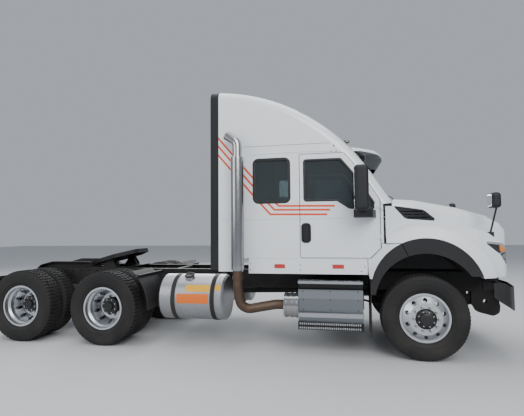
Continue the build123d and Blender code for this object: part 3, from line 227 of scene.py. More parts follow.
def scuff_group():
    """Mask of worn patches: a coarse and a fine noise that have to agree."""
    tree, (amount,), mask = new_group("Scuffs", "Mask", Amount=0.4)
    coarse = noise(tree, 9.0, 8.0, 0.7).ramp(0.56, 0.72)
    fine = noise(tree, 85.0, 4.0).ramp(0.45, 0.65)
    feed(mask, (coarse * fine).math("MULTIPLY", amount, clamp=True))


def perforation_group():
    """Mask of staggered round holes over the side view: two crossed cosines above a level."""
    tree, (pitch,), mask = new_group("Perforation", "Mask", Pitch=0.02)
    x, _, z = coordinates(tree)
    rate = math_value(tree, "DIVIDE", 2 * math.pi, pitch)
    first, second = [(value * rate).math("COSINE") for value in (x + z, x - z)]
    feed(mask, first + second > 1.15)


def weave_group():
    """Height of a plain weave: two crossed waves, one per thread direction."""
    tree, (scale,), height = new_group("Cloth weave", "Height", Scale=900.0)
    x, y, z = coordinates(tree)
    feed(height, ((x + z) * scale).math("SINE") * (y * scale).math("SINE"))


# Stripe courses on the cab's sides as (x, z) corners, the same on both sides
STRIPE_COURSES = (
    ((-0.110, 2.930), (0.686, 1.998), (0.767, 1.931), (1.499, 1.918)),
    ((-0.110, 2.815), (0.586, 2.003), (0.704, 1.880), (1.436, 1.868)),
    ((-0.110, 2.690), (0.484, 2.000), (0.648, 1.820), (1.400, 1.808)),
)
# Stripes show only further out than this, which keeps them off the cab's inner faces
STRIPE_SKIN_Y = 1.070


def stripe_group(width):
    """Mask of the stripes: near the line of a run, between its two ends, and on the outer skin."""
    tree, _, mask = new_group("Side stripes", "Mask")
    x, y, z = coordinates(tree)
    runs = []
    for course in STRIPE_COURSES:
        for (x0, z0), (x1, z1) in zip(course, course[1:]):
            length = math.hypot(x1 - x0, z1 - z0)
            dx, dz = (x1 - x0) / length, (z1 - z0) / length
            off_x, off_z = x - x0, z - z0
            near = abs(off_x * dz - off_z * dx) < width / 2
            along = off_x * dx + off_z * dz
            runs.append(near * (abs(along - length / 2) < length / 2 + width * 0.2))
    feed(mask, combined("MAXIMUM", runs) * (abs(y) > STRIPE_SKIN_Y))


# Finishes

FINISHES = {}

# Where the upper edge of the headlamps bends in the side view, as (x, z)
LAMP_BEND = (3.521, 1.425)


class Finish:
    """A material being built: layers of colour and roughness and reliefs feed one Principled shader."""

    def __init__(self, key, name, colour, roughness, **values):
        self.material = bpy.data.materials.new(name)
        self.material.use_nodes = True
        self.material.diffuse_color = (*colour, 1.0)
        self.tree = self.material.node_tree
        self.shader = self.tree.nodes["Principled BSDF"]
        self.shader.inputs["Base Color"].default_value = (*colour, 1.0)
        self.shader.inputs["Roughness"].default_value = roughness
        for label, value in values.items():
            self.shader.inputs[label.replace("_", " ")].default_value = value
        FINISHES[key] = self.material

    def group(self, name, **values):
        """A shared group placed in the material, with its inputs set."""
        node = self.tree.nodes.new("ShaderNodeGroup")
        node.node_tree = GROUPS[name]
        for label, value in values.items():
            node.inputs[label].default_value = value
        return Value(self.tree, node.outputs[0])

    def layer(self, mask, value, label=None):
        """Mixes a colour over the base colour, or a number over the roughness or the named input."""
        colour = not isinstance(value, float)
        socket = self.shader.inputs[label or ("Base Color" if colour else "Roughness")]
        node = self.tree.nodes.new("ShaderNodeMix")
        node.data_type = "RGBA" if colour else "FLOAT"
        first, second, out = (6, 7, 2) if colour else (2, 3, 0)
        if socket.is_linked:
            self.tree.links.new(socket.links[0].from_socket, node.inputs[first])
        else:
            node.inputs[first].default_value = socket.default_value
        node.inputs[second].default_value = (*value, 1.0) if colour else value
        feed(node.inputs[0], mask)
        self.tree.links.new(node.outputs[out], socket)
        return self

    def relief(self, height, distance, strength):
        """Bumps the surface by a height field, on top of the bumps it has."""
        node = self.tree.nodes.new("ShaderNodeBump")
        for label, value in (("Strength", strength), ("Distance", distance), ("Height", height)):
            feed(node.inputs[label], value)
        normal = self.shader.inputs["Normal"]
        if normal.is_linked:
            self.tree.links.new(normal.links[0].from_socket, node.inputs["Normal"])
        self.tree.links.new(node.outputs["Normal"], normal)
        return self

    def dusty(self, height, amount, value):
        """Road dust up to a height: a colour tints the surface, a number sets its roughness."""
        return self.layer(self.group("Road dust", Height=height, Amount=amount), value)

    def scuffed(self, amount, value):
        """Worn patches: a colour tints them, a number sets their roughness."""
        return self.layer(self.group("Scuffs", Amount=amount), value)

    def grained(self, scale, distance, strength):
        """Relief of moulded grain or cast skin."""
        return self.relief(self.group("Surface grain", Scale=scale), distance, strength)

    def within(self, axis, low, high):
        """Mask that is 1 where the named object coordinate lies between two values."""
        place = coordinates(self.tree)["xyz".index(axis)]
        return abs(place - (low + high) / 2) < (high - low) / 2

    def rise(self, low, high):
        """Value that climbs from 0 to 1 between two heights."""
        return coordinates(self.tree)[2].ramp(low, high)

    def below_line(self, slope, depth):
        """Mask that is 1 within a depth under a sloping line through the bend of the lamp's upper edge."""
        x, _, z = coordinates(self.tree)
        return x * slope + (LAMP_BEND[1] - slope * LAMP_BEND[0]) - z < depth

    def disc(self, y, z, radius):
        """Mask that is 1 within a radius of a point of the front view, on both sides."""
        _, across, up = coordinates(self.tree)
        aside, lift = abs(across) - y, up - z
        return aside * aside + lift * lift < radius * radius

    def hub_mask(self, radius):
        """Mask that is 1 nearer than a radius to the wheel's own axle, whichever axle it is on."""
        x, _, z = coordinates(self.tree)
        lift = (z - AXLE_Z) ** 2.0
        squares = [(x - axle_x) ** 2.0 + lift for axle_x in AXLE_X.values()]
        return combined("MINIMUM", squares) < radius * radius


def make_finishes(sizes, colours):
    """All materials, by the names that pieces and nodes ask for."""
    dust, height = colours.dust, sizes.dust_height

    for key, name in (("white", "White enamel"), ("cab", "White enamel with stripes")):
        paint = Finish(key, name, colours.paint, 0.30, Coat_Weight=0.8, Coat_Roughness=0.06)
        if key == "cab":
            paint.layer(paint.group("Side stripes"), colours.stripe)
        paint.dusty(height, 0.22, dust).dusty(height, 0.5, 0.62)
        if key == "cab":
            paint.relief(paint.rise(1.744, 1.758), 0.006, 0.8)
        paint.grained(40.0, 0.0004, 0.35)

    black = Finish("chassis", "Chassis black", colours.chassis, 0.50, Specular_IOR_Level=0.3)
    black.scuffed(0.3, (0.05, 0.042, 0.036)).dusty(1.25, 0.16, dust).dusty(1.25, 0.8, 0.85)
    black.grained(90.0, 0.0008, 0.5)

    trim = Finish("trim", "Black moulding", colours.trim, 0.50, Specular_IOR_Level=0.35)
    trim.dusty(height, 0.10, dust).grained(420.0, 0.0003, 0.6)

    rubber = Finish("tyre", "Tyre rubber", colours.rubber, 0.66, Specular_IOR_Level=0.3)
    rubber.dusty(1.15, 0.09, dust).scuffed(0.25, (0.045, 0.042, 0.040)).grained(160.0, 0.0006, 0.6)

    Finish("seal", "Window seal rubber", (0.012, 0.012, 0.013), 0.42).grained(500.0, 0.0002, 0.4)

    alloy = Finish("wheel", "Polished wheel alloy", (0.62, 0.64, 0.67), 0.16, Metallic=1.0)
    alloy.layer(alloy.group("Surface grain", Scale=25.0), 0.34)
    alloy.dusty(1.0, 0.20, dust).dusty(1.0, 0.5, 0.6)
    hub = alloy.hub_mask(0.124)
    alloy.layer(hub, (0.010, 0.010, 0.011)).layer(hub, 0.0, "Metallic").layer(hub, 0.45)
    alloy.grained(260.0, 0.0003, 0.25)

    tank = Finish("tank", "Tank alloy", (0.42, 0.43, 0.45), 0.22, Metallic=1.0)
    tank.layer(tank.group("Surface grain", Scale=18.0), 0.42)
    tank.dusty(0.75, 0.5, dust).dusty(1.1, 0.6, 0.7).grained(14.0, 0.0012, 0.3)

    bright = Finish("bright", "Bright exhaust steel", (0.40, 0.40, 0.41), 0.20, Metallic=1.0)
    bright.scuffed(0.6, 0.5).dusty(0.9, 0.45, dust)
    holes = bright.group("Perforation", Pitch=0.018) * bright.within("z", 1.14, 2.55)
    bright.layer(holes, (0.05, 0.05, 0.052)).layer(holes, 0.6).grained(60.0, 0.0005, 0.3)

    nut = Finish("plated", "Plated steel", (0.45, 0.46, 0.48), 0.24, Metallic=1.0)
    nut.scuffed(0.5, 0.5).grained(300.0, 0.0002, 0.3)

    steel = Finish("steel", "Step steel", (0.21, 0.23, 0.25), 0.34, Metallic=1.0)
    steel.layer(steel.within("z", 0.716, 0.818), (0.27, 0.29, 0.31))
    tread = steel.within("z", 0.832, 0.908)
    steel.layer(tread, (0.012, 0.012, 0.013)).layer(tread, 0.0, "Metallic")
    steel.layer(steel.within("z", 0.320, 0.426), (0.030, 0.030, 0.032))
    steel.scuffed(0.7, 0.6).dusty(0.8, 0.18, dust).grained(120.0, 0.0006, 0.4)

    pipe = Finish("pipe", "Heat browned pipe", (0.10, 0.065, 0.045), 0.55, Metallic=0.7)
    pipe.scuffed(0.9, (0.24, 0.14, 0.08)).dusty(1.0, 0.3, dust).grained(130.0, 0.0012, 0.7)

    glass = Finish("glass", "Tinted glass", (0.16, 0.20, 0.21), 0.03, Transmission_Weight=0.85, IOR=1.45)
    glass.dusty(4.5, 0.05, 0.25)

    Finish("mirror", "Mirror glass", (0.85, 0.87, 0.88), 0.03, Metallic=1.0).scuffed(0.1, 0.2)

    lamp = Finish("lamp", "Headlamp", (0.70, 0.72, 0.74), 0.10, Metallic=0.85, Coat_Weight=1.0,
                  Coat_Roughness=0.02)
    chrome = lamp.below_line(-0.115, 0.026).math("MAXIMUM", lamp.below_line(-0.89, 0.052))
    dark = math_value(lamp.tree, "SUBTRACT", 1.0, chrome)
    lamp.layer(dark, (0.020, 0.022, 0.026)).layer(dark, 0.0, "Metallic")
    amber = dark * lamp.below_line(-0.89, 0.130) * lamp.within("x", 3.475, 3.590)
    lamp.layer(amber, (0.80, 0.22, 0.015))
    for radius, colour, shine in ((0.062, (0.75, 0.76, 0.78), 1.0), (0.052, (0.05, 0.055, 0.06), 0.0),
                                  (0.030, (0.55, 0.60, 0.66), 1.0)):
        for y in (0.800, 0.950):
            bowl = lamp.disc(y, 1.262, radius) * lamp.within("x", 3.40, 3.80)
            lamp.layer(bowl, colour).layer(bowl, shine, "Metallic")
    lamp.grained(45.0, 0.004, 0.5)

    red = Finish("red", "Red lens", (0.48, 0.015, 0.012), 0.16, Coat_Weight=1.0)
    red.relief(red.group("Cloth weave", Scale=1400.0), 0.0006, 0.6).dusty(1.2, 0.3, dust)

    Finish("smoked", "Smoked lens", (0.03, 0.018, 0.008), 0.16, Coat_Weight=1.0).scuffed(0.3, 0.5)

    cabin = Finish("cabin", "Cabin moulding", (0.24, 0.24, 0.25), 0.62)
    cabin.grained(500.0, 0.0004, 0.7).scuffed(0.3, (0.16, 0.155, 0.15))

    cloth = Finish("cloth", "Woven seat cloth", colours.cloth, 0.88, Sheen_Weight=0.35)
    cloth.layer(cloth.group("Surface grain", Scale=30.0), [part * 0.82 for part in colours.cloth])
    cloth.relief(cloth.group("Cloth weave", Scale=1500.0), 0.0008, 0.8)

    for key, name, colour in (("yellow", "Yellow blank plate", (0.78, 0.40, 0.008)),
                              ("orange", "Orange blank band", (0.76, 0.155, 0.006)),
                              ("visor", "Smoked visor with painted sky reflection", (0.030, 0.033, 0.038))):
        made = Finish(key, name, colour, 0.42)
        if key == "visor":
            # The visor's top above 2.67 m takes the body paint's white, a painted reflection of the sky on
            # the smoked visor
            made.layer(made.rise(2.668, 2.672), colours.paint)
        made.dusty(1.3, 0.15, dust).scuffed(0.4, 0.7).grained(220.0, 0.0003, 0.5)


def both_sides(*names):
    """Each name with the left and the right side's ending."""
    return [f"{name}_{side}" for name in names for side in SIDES]


# Finish to CAD nodes; nodes that a piece replaces are listed too, and aren't shown
NODE_FINISHES = {
    "white": ("bonnet", "sill_panels", "wing_tails"),
    "cab": ("cab_body", "cab_floor", "cab_rear_wall", "roof_fairing", "extenders", *both_sides("door")),
    "chassis": ("frame_rails", "crossmembers", "front_axle", "suspension", "drive_axles", "engine",
                "radiator", "coupling_mount", "coupling_plate", "tie_rod", "tank_straps",
                *both_sides("knuckle")),
    "trim": ("bumper", "extender_seals", "bonnet_flares", "grilles", "bonnet_mirrors", "mud_guards",
             *both_sides("door_fittings")),
    "visor": ("sun_visor",),
    "tank": ("fuel_tanks",),
    "steel": ("step_boxes",),
    "pipe": ("exhaust_pipe",),
    "bright": ("exhaust_can", "exhaust_stack"),
    "glass": ("cab_glass", *both_sides("door_glass")),
    "lamp": ("headlamps",),
    "red": ("tail_lamps",),
    "cabin": ("dashboard", "cab_bases"),
    "cloth": ("seats", "bunk"),
    "wheel": both_sides("wheel_front", "wheels_drive_1", "wheels_drive_2"),
    "tyre": both_sides("tyre_front", "tyres_drive_1", "tyres_drive_2"),
}


# Mesh helpers

ORIGIN = (0.0, 0.0, 0.0)


def grid_faces(rows, cols, wrap_rows=False, wrap_cols=False):
    """Quads of a grid of points numbered row by row, joined round either way if asked."""
    row, col = np.indices((rows - (not wrap_rows), cols - (not wrap_cols)))
    row_next, col_next = (row + 1) % rows, (col + 1) % cols
    quads = [row * cols + col, row_next * cols + col, row_next * cols + col_next, row * cols + col_next]
    return np.stack(quads, axis=-1).reshape(-1, 4)


def unit(vectors):
    """The vectors brought to length 1."""
    return vectors / np.linalg.norm(vectors, axis=-1, keepdims=True)


def joined(parts):
    """Several (points, quads) pairs as one."""
    points, quads, start = [], [], 0
    for some_points, some_quads in parts:
        points.append(some_points)
        quads.append(some_quads + start)
        start += len(some_points)
    return np.concatenate(points), np.concatenate(quads)


def copies(shape, offsets):
    """A (points, quads) shape repeated at each offset by broadcasting."""
    points, quads = shape
    offsets = np.asarray(offsets, dtype=float).reshape(-1, 3)
    many = (points[None, :, :] + offsets[:, None, :]).reshape(-1, 3)
    shifted = (quads[None, :, :] + (np.arange(len(offsets)) * len(points))[:, None, None]).reshape(-1, 4)
    return many, shifted


def mirrored(shape):
    """The shape with y turned to -y."""
    points, quads = shape
    return points * np.array([1.0, -1.0, 1.0]), quads


def turned(profile, steps, centre=ORIGIN):
    """Profile of (radius, offset) turned about a line along Y: x = r sin t, y = offset, z = r cos t."""
    profile = np.asarray(profile, dtype=float)
    angle = np.linspace(0.0, 2 * np.pi, steps, endpoint=False)[:, None]
    radius, offset = profile[:, 0][None, :], profile[:, 1][None, :]
    points = np.stack([radius * np.sin(angle), offset + 0.0 * angle, radius * np.cos(angle)], axis=-1)
    return points.reshape(-1, 3) + np.asarray(centre), grid_faces(steps, len(profile), wrap_rows=True)


def along_path(path, radius, sides):
    """Round tube: each path point gets a circle square to the path, and both ends close to a point."""
    path = np.asarray(path, dtype=float)
    tangent = unit(np.gradient(path, axis=0))
    helper = np.where(np.abs(tangent[:, 2:3]) > 0.9, [[1.0, 0.0, 0.0]], [[0.0, 0.0, 1.0]])
    side = unit(np.cross(tangent, helper))
    up = np.cross(side, tangent)
    angle = np.linspace(0.0, 2 * np.pi, sides, endpoint=False)[None, :, None]
    ring = side[:, None, :] * np.cos(angle) + up[:, None, :] * np.sin(angle)
    reach = np.broadcast_to(np.asarray(radius, dtype=float), (len(path),))[:, None, None]
    ends = [np.repeat(end, sides, axis=0)[None] for end in (path[:1], path[-1:])]
    rings = np.concatenate([ends[0], path[:, None, :] + ring * reach, ends[1]])
    return rings.reshape(-1, 3), grid_faces(len(path) + 2, sides, wrap_cols=True)


def rounded_outline(corners, radius, steps=6):
    """Closed outline whose corners are arcs: each arc runs between the two tangent points of its corner."""
    corners = np.asarray(corners, dtype=float)
    before = unit(np.roll(corners, 1, axis=0) - corners)
    after = unit(np.roll(corners, -1, axis=0) - corners)
    half = np.arccos(np.clip(np.sum(before * after, axis=1), -0.9999, 0.9999)) / 2
    reach = (radius / np.tan(half))[:, None]
    start, end = corners + before * reach, corners + after * reach
    centre = corners + unit(before + after) * (radius / np.sin(half))[:, None]
    share = np.linspace(0.0, 1.0, steps)[None, :, None]
    chord = start[:, None, :] * (1 - share) + end[:, None, :] * share - centre[:, None, :]
    return (centre[:, None, :] + radius * unit(chord)).reshape(-1, 2)


def outline_offset(outline, distance):
    """The closed outline moved outwards by a distance along its own normals."""
    tangent = unit(np.roll(outline, -1, axis=0) - np.roll(outline, 1, axis=0))
    normal = np.stack([tangent[:, 1], -tangent[:, 0]], axis=1)
    x, z = outline[:, 0], outline[:, 1]
    area = np.sum(x * np.roll(z, -1) - np.roll(x, -1) * z)
    return outline + normal * distance * np.sign(area)


def side_band(outline, inner, outer, y_low, y_high):
    """Closed band round an (x, z) outline: six loops with their own offset and y, joined round."""
    slope = (outer - inner) * 0.25
    shoulder = y_high - slope * 0.3
    loops = []
    for offset, y in ((inner, y_low), (inner, shoulder), (inner + slope, y_high),
                      (outer - slope, y_high), (outer, shoulder), (outer, y_low)):
        loop = outline_offset(outline, offset)
        loops.append(np.stack([loop[:, 0], np.full(len(loop), y), loop[:, 1]], axis=1))
    return np.stack(loops, axis=1).reshape(-1, 3), grid_faces(len(outline), len(loops), True, True)


def crowned_block(centre, half, power, rows=40, cols=56):
    """Closed crowned form: x, y and z follow signed powers of sines and cosines of two angles."""
    v = np.linspace(-np.pi / 2, np.pi / 2, rows)[:, None]
    u = np.linspace(-np.pi, np.pi, cols, endpoint=False)[None, :]

    def bent(value):
        return np.sign(value) * np.abs(value) ** power

    unit = [bent(np.cos(v)) * bent(np.cos(u)), bent(np.cos(v)) * bent(np.sin(u)), bent(np.sin(v)) + 0.0 * u]
    points = np.stack(unit, axis=-1) * np.asarray(half) + np.asarray(centre)
    return points.reshape(-1, 3), grid_faces(rows, cols, wrap_cols=True)


def flat_block(low, high):
    """Closed box from two corners as a crowned block with nearly square edges."""
    low, high = np.asarray(low, dtype=float), np.asarray(high, dtype=float)
    return crowned_block((low + high) / 2, (high - low) / 2, 0.12, 14, 24)


def aimed(shape, direction, place):
    """The shape with its own Y axis turned to a direction and its origin set on a place."""
    points, quads = shape
    turn = np.array(Vector((0.0, 1.0, 0.0)).rotation_difference(Vector(direction).normalized()).to_matrix())
    return points @ turn.T + np.asarray(place), quads


def clean(mesh, smooth):
    """Merges a mesh's doubles, turns its faces outwards and shades them smooth or flat."""
    work = bmesh.new()
    work.from_mesh(mesh)
    bmesh.ops.remove_doubles(work, verts=work.verts, dist=1e-6)
    bmesh.ops.recalc_face_normals(work, faces=work.faces)
    for face in work.faces:
        face.smooth = smooth
    work.to_mesh(mesh)
    work.free()


def make_piece(name, shape, body, finish, flat=False):
    """Mesh object from (points, quads), cleaned, with its finish, riding on its body."""
    points, quads = shape
    mesh = bpy.data.meshes.new(name)
    mesh.vertices.add(len(points))
    mesh.vertices.foreach_set("co", np.asarray(points, dtype=np.float32).ravel())
    mesh.loops.add(len(quads) * 4)
    mesh.loops.foreach_set("vertex_index", np.asarray(quads, dtype=np.int32).ravel())
    mesh.polygons.add(len(quads))
    mesh.polygons.foreach_set("loop_start", np.arange(0, len(quads) * 4, 4, dtype=np.int32))
    mesh.update(calc_edges=True)
    clean(mesh, smooth=not flat)
    mesh.materials.append(FINISHES[finish])
    piece = bpy.data.objects.new(name, mesh)
    bpy.context.scene.collection.objects.link(piece)
    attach(piece, body)
    return piece


def make_pair(name, shape, body, finish, flat=False):
    """The piece on the left and its mirror image on the right; a body ending in _ takes the side's name."""
    for side, sign in SIDES.items():
        on_side = shape if sign > 0 else mirrored(shape)
        make_piece(f"{name}_{side}", on_side, body + side if body.endswith("_") else body, finish, flat)


# Tyres

# Middles of the tyres, from the middle of the truck, and the angle beyond which their edges are sharp
FRONT_TYRE_Y = 1.034
TWIN_TYRES_Y = (1.070, 0.735)
TREAD_SHARP = math.radians(30.0)


def tyre_shape(axle_x, y, depth, pitches, driven):
    """Closed tyre: a section of (radius, offset) turned round the axle, grooves taken off its radius.

    Four steps per pitch give each block a flat top and each cross groove a flat floor."""
    wall = [(0.2875, 0.090), (0.2875, 0.104), (0.300, 0.111), (0.312, 0.116), (0.314, 0.121),
            (0.330, 0.1295), (0.352, 0.139), (0.354, 0.1415), (0.362, 0.1425), (0.364, 0.1425),
            (0.390, 0.1465), (0.415, 0.149), (0.440, 0.1475), (0.458, 0.144), (0.460, 0.1455),
            (0.466, 0.1445), (0.468, 0.1415), (0.486, 0.135), (0.500, 0.128), (0.510, 0.121)]
    grooves = (-0.066, -0.023, 0.023, 0.066) if driven else (-0.072, -0.036, 0.0, 0.036, 0.072)
    half_groove = 0.0055 if driven else 0.0048
    tread = [(0.5161, -0.113), (0.5186, -0.104)]
    cut = [0.0, 0.0]
    for middle in grooves:
        for step, depth_share in ((-1.3, 0.0), (-0.8, 1.0), (0.8, 1.0), (1.3, 0.0)):
            tread.append((0.5192, middle + step * half_groove))
            cut.append(depth_share)
    tread += [(0.5186, 0.104), (0.5161, 0.113)]
    cut += [0.0, 0.0]
    section = np.array([(r, -w) for r, w in wall] + tread + [(r, w) for r, w in reversed(wall)])
    groove = np.zeros(len(section))
    groove[len(wall):len(wall) + len(tread)] = cut
    base, offset = section.T
    share = np.array([0.0, 0.60, 0.66, 0.94])
    angle = ((np.arange(pitches)[:, None] + share[None, :]) / pitches * 2 * np.pi).ravel()[:, None]
    open_step = np.tile(np.array([0.0, 0.0, 1.0, 1.0]), pitches)[:, None]
    if driven:
        band = (np.abs(offset) < 0.122) & (base > 0.508)
        skew = np.where(np.abs(offset) < 0.045, 0.5 * np.pi / pitches, 0.0)
    else:
        band = (np.abs(offset) > 0.080) & (base > 0.508)
        skew = np.zeros(len(section))
    cross = open_step * band[None, :] * (0.8 if driven else 0.35)
    radius = base[None, :] - depth * np.maximum(groove[None, :], cross)
    turn = angle + skew[None, :]
    points = np.stack([axle_x + radius * np.sin(turn), y + offset[None, :] + 0.0 * turn,
                       AXLE_Z + radius * np.cos(turn)], axis=-1)
    return points.reshape(-1, 3), grid_faces(len(angle), len(section), True, True)


class TRUCK_OT_tyres(bpy.types.Operator):
    """Make the tyres with their treads in place of the plain tyre solids"""
    bl_idname = "truck.tyres"
    bl_label = "Tyres"

    def execute(self, context):
        depth = context.scene.truck_sizes.groove_depth
        for side, sign in SIDES.items():
            front = tyre_shape(AXLE_X["front"], sign * FRONT_TYRE_Y, depth, 72, False)
            piece = make_piece(f"tread_front_{side}", front, f"wheel_front_{side}", "tyre")
            piece.data.set_sharp_from_angle(angle=TREAD_SHARP)
            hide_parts(f"tyre_front_{side}")
            for axle in DRIVE_AXLES:
                pair = joined([tyre_shape(AXLE_X[axle], sign * y, depth, 60, True) for y in TWIN_TYRES_Y])
                piece = make_piece(f"tread_{axle}_{side}", pair, f"wheels_{axle}_{side}", "tyre")
                piece.data.set_sharp_from_angle(angle=TREAD_SHARP)
                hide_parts(f"tyres_{axle}_{side}")
        return {"FINISHED"}


# Wheel nuts and hubs

# Radius of the circle of wheel nuts, and the faces that carry the nuts and the small bolts
NUT_CIRCLE = 0.142875
FRONT_WHEEL_FACE = 1.2018
FRONT_HUB_FACE = 1.2153
DRIVE_WHEEL_FACE = 0.9228
DRIVE_HUB_FACE = 1.0068


def nut_and_stud(radius):
    """A hexagon with a domed top and the stud's end through it, both turned about Y."""
    height = 0.030
    nut = turned([(0, 0), (radius * 1.15, 0), (radius * 1.15, 0.004), (radius, 0.005),
                  (radius, height - 0.005), (radius * 0.84, height), (0, height)], 6)
    stud = turned([(0, height - 0.002), (0.0105, height - 0.002), (0.0105, height + 0.012),
                   (0.009, height + 0.014), (0, height + 0.014)], 12)
    return joined([nut, stud])


def circle_offsets(axle_x, y, radius, count):
    """Points spaced evenly round the axle on a circle, the first half a step from the top."""
    angle = (np.arange(count) + 0.5) * 2 * np.pi / count
    x, z = axle_x + radius * np.sin(angle), AXLE_Z + radius * np.cos(angle)
    return np.stack([x, np.full(count, y), z], axis=1)


class TRUCK_OT_wheel_nuts(bpy.types.Operator):
    """Make the wheel nuts, the small bolts of the hubs and the front hub caps"""
    bl_idname = "truck.wheel_nuts"
    bl_label = "Wheel nuts and hubs"

    def execute(self, context):
        nut = nut_and_stud(context.scene.truck_sizes.nut_radius)
        bolt = turned([(0, 0), (0.011, 0), (0.011, 0.009), (0.009, 0.011), (0, 0.011)], 6)
        cap = turned([(0, 1.2682), (0.052, 1.2678), (0.066, 1.2662), (0.074, 1.261), (0.0775, 1.252),
                      (0.0775, 1.2240), (0.0, 1.2240)], 48, (AXLE_X["front"], 0, AXLE_Z))
        make_pair("hub_cap", cap, "wheel_front_", "seal")
        for axle, body, face, hub_face, hub_circle in (
                ("front", "wheel_front_", FRONT_WHEEL_FACE, FRONT_HUB_FACE, 0.090),
                ("drive_1", "wheels_drive_1_", DRIVE_WHEEL_FACE, DRIVE_HUB_FACE, 0.098),
                ("drive_2", "wheels_drive_2_", DRIVE_WHEEL_FACE, DRIVE_HUB_FACE, 0.098)):
            nuts = copies(nut, circle_offsets(AXLE_X[axle], face, NUT_CIRCLE, 10))
            bolts = copies(bolt, circle_offsets(AXLE_X[axle], hub_face, hub_circle, 8))
            make_pair(f"nuts_{axle}", joined([nuts, bolts]), body, "plated", flat=True)
        return {"FINISHED"}


# Window surrounds

SLEEPER_WINDOW = ((0.439, 1.998), (0.891, 1.998), (0.891, 2.551), (0.439, 2.551))
DOOR_WINDOW = ((1.118, 2.525), (1.118, 2.002), (1.541, 2.002), (1.691, 1.900), (1.986, 1.880), (1.986, 1.950),
               (1.802, 2.2336), (1.7015, 2.3765), (1.580, 2.525))


class TRUCK_OT_window_trim(bpy.types.Operator):
    """Make the black surrounds of the side windows"""
    bl_idname = "truck.window_trim"
    bl_label = "Window surrounds"

    def execute(self, context):
        width = context.scene.truck_sizes.seal_width
        outline = rounded_outline(SLEEPER_WINDOW, 0.045)
        band = side_band(outline, -0.004, width, CAB_SKIN_Y, CAB_SKIN_Y + 0.0043)
        make_pair("sleeper_surround", band, "chassis", "seal", flat=True)
        outline = rounded_outline(DOOR_WINDOW, 0.020)
        band = side_band(outline, -0.004, width * 0.7, CAB_SKIN_Y, CAB_SKIN_Y + 0.0038)
        make_pair("door_surround", band, "door_", "seal", flat=True)
        return {"FINISHED"}


def roof_radius(y, lift):
    """Radius of the roof's arc at a distance from the middle, raised by lift: R - y^2 / 2 C + lift."""
    return ROOF_RADIUS - y ** 2 / (2 * CROWN_RADIUS) + lift


def screen_point(y, down, lift):
    """Point of the windscreen: the roof's radius at the screen's lean, carried down the screen's slope."""
    y, down = np.asarray(y, dtype=float), np.asarray(down, dtype=float)
    radius = roof_radius(y, lift)
    x = ROOF_CENTRE_X + radius * math.cos(SCREEN_LEAN) + down * math.sin(SCREEN_LEAN)
    z = ROOF_CENTRE_Z + radius * math.sin(SCREEN_LEAN) - down * math.cos(SCREEN_LEAN)
    return np.stack([x, y, z], axis=-1)


class TRUCK_OT_wipers(bpy.types.Operator):
    """Make the two windscreen wipers, parked low on the screen"""
    bl_idname = "truck.wipers"
    bl_label = "Wipers"

    def execute(self, context):
        pivot_down = 0.520
        share = np.linspace(0.0, 1.0, 16)
        lift = 0.014 - 0.018 * share + 0.012 * np.sin(share * np.pi)
        parts = []
        for pivot_y in (-0.62, 0.08):
            blade = screen_point(pivot_y - 0.05 + 0.55 * share, 0.400 - 0.05 * share, -0.0070)
            arm = screen_point(pivot_y + 0.20 * share, pivot_down - 0.143 * share, lift)
            parts.append(along_path(blade, 0.007, 8))
            parts.append(along_path(arm, 0.009 - 0.003 * share, 8))
            pivot = screen_point(pivot_y, pivot_down, 0.004)
            parts.append(crowned_block(pivot, (0.022, 0.022, 0.022), 0.7, 12, 16))
        make_piece("wipers", joined(parts), "chassis", "seal")
        return {"FINISHED"}


# Lamps, reflectors and blank plates

class TRUCK_OT_small_lamps(bpy.types.Operator):
    """Make the roof marker lamps, the side reflectors and the screws of the sill panels"""
    bl_idname = "truck.small_lamps"
    bl_label = "Markers, reflectors and screws"

    def execute(self, context):
        lamps = []
        x = FRONT_AXLE_X - 0.90
        for y in (-0.74, -0.37, 0.0, 0.37, 0.74):
            z = ROOF_CENTRE_Z + math.sqrt(roof_radius(y, 0.006) ** 2 - (x - ROOF_CENTRE_X) ** 2)
            lamps.append(crowned_block((x, y, z), (0.055, 0.028, 0.026), 0.6, 16, 24))
        make_piece("roof_markers", joined(lamps), "chassis", "smoked")
        screw = turned([(0, 0), (0.010, 0), (0.009, 0.003), (0.005, 0.0048), (0, 0.005)], 12)
        spots = [(FRONT_AXLE_X + x, SILL_SKIN_Y, z) for x, z in (
            (-1.520, 1.148), (-1.520, 1.080), (-2.191, 1.161),
            (-2.191, 1.081), (-0.693, 1.130), (-0.739, 1.071))]
        red = []
        for rear, front in ((-1.864, -1.720), (-1.102, -0.955)):
            low = (FRONT_AXLE_X + rear, SILL_SKIN_Y, 1.103)
            red.append(flat_block(low, (FRONT_AXLE_X + front, SILL_SKIN_Y + 0.007, 1.156)))
        make_pair("reflectors", joined(red), "chassis", "red", flat=True)
        make_pair("sill_screws", copies(screw, spots), "chassis", "plated")
        return {"FINISHED"}


def tank_sheet(x0, x1, z0, z1):
    """Thin closed sheet lying on the tank: x runs straight, y and z follow the tank's circle."""
    radius, centre_y, centre_z = 0.318, 0.802, 0.665
    low, high = np.arcsin((np.array([z0, z1]) - centre_z) / radius)
    turn = np.linspace(low, high, 10)
    turn = np.concatenate([turn, turn[::-1]])
    reach = np.repeat([radius + 0.0014, radius - 0.002], 10)
    y, z = centre_y + reach * np.cos(turn), centre_z + reach * np.sin(turn)
    loops = np.stack([np.stack([np.full(20, x), y, z], axis=1) for x in (x0, x1)], axis=1)
    first, last = np.repeat(loops.mean(axis=0, keepdims=True), 20, axis=0).transpose(1, 0, 2)[:, :, None]
    ring = np.concatenate([first, loops, last], axis=1)
    return ring.reshape(-1, 3), grid_faces(20, 4, wrap_rows=True)


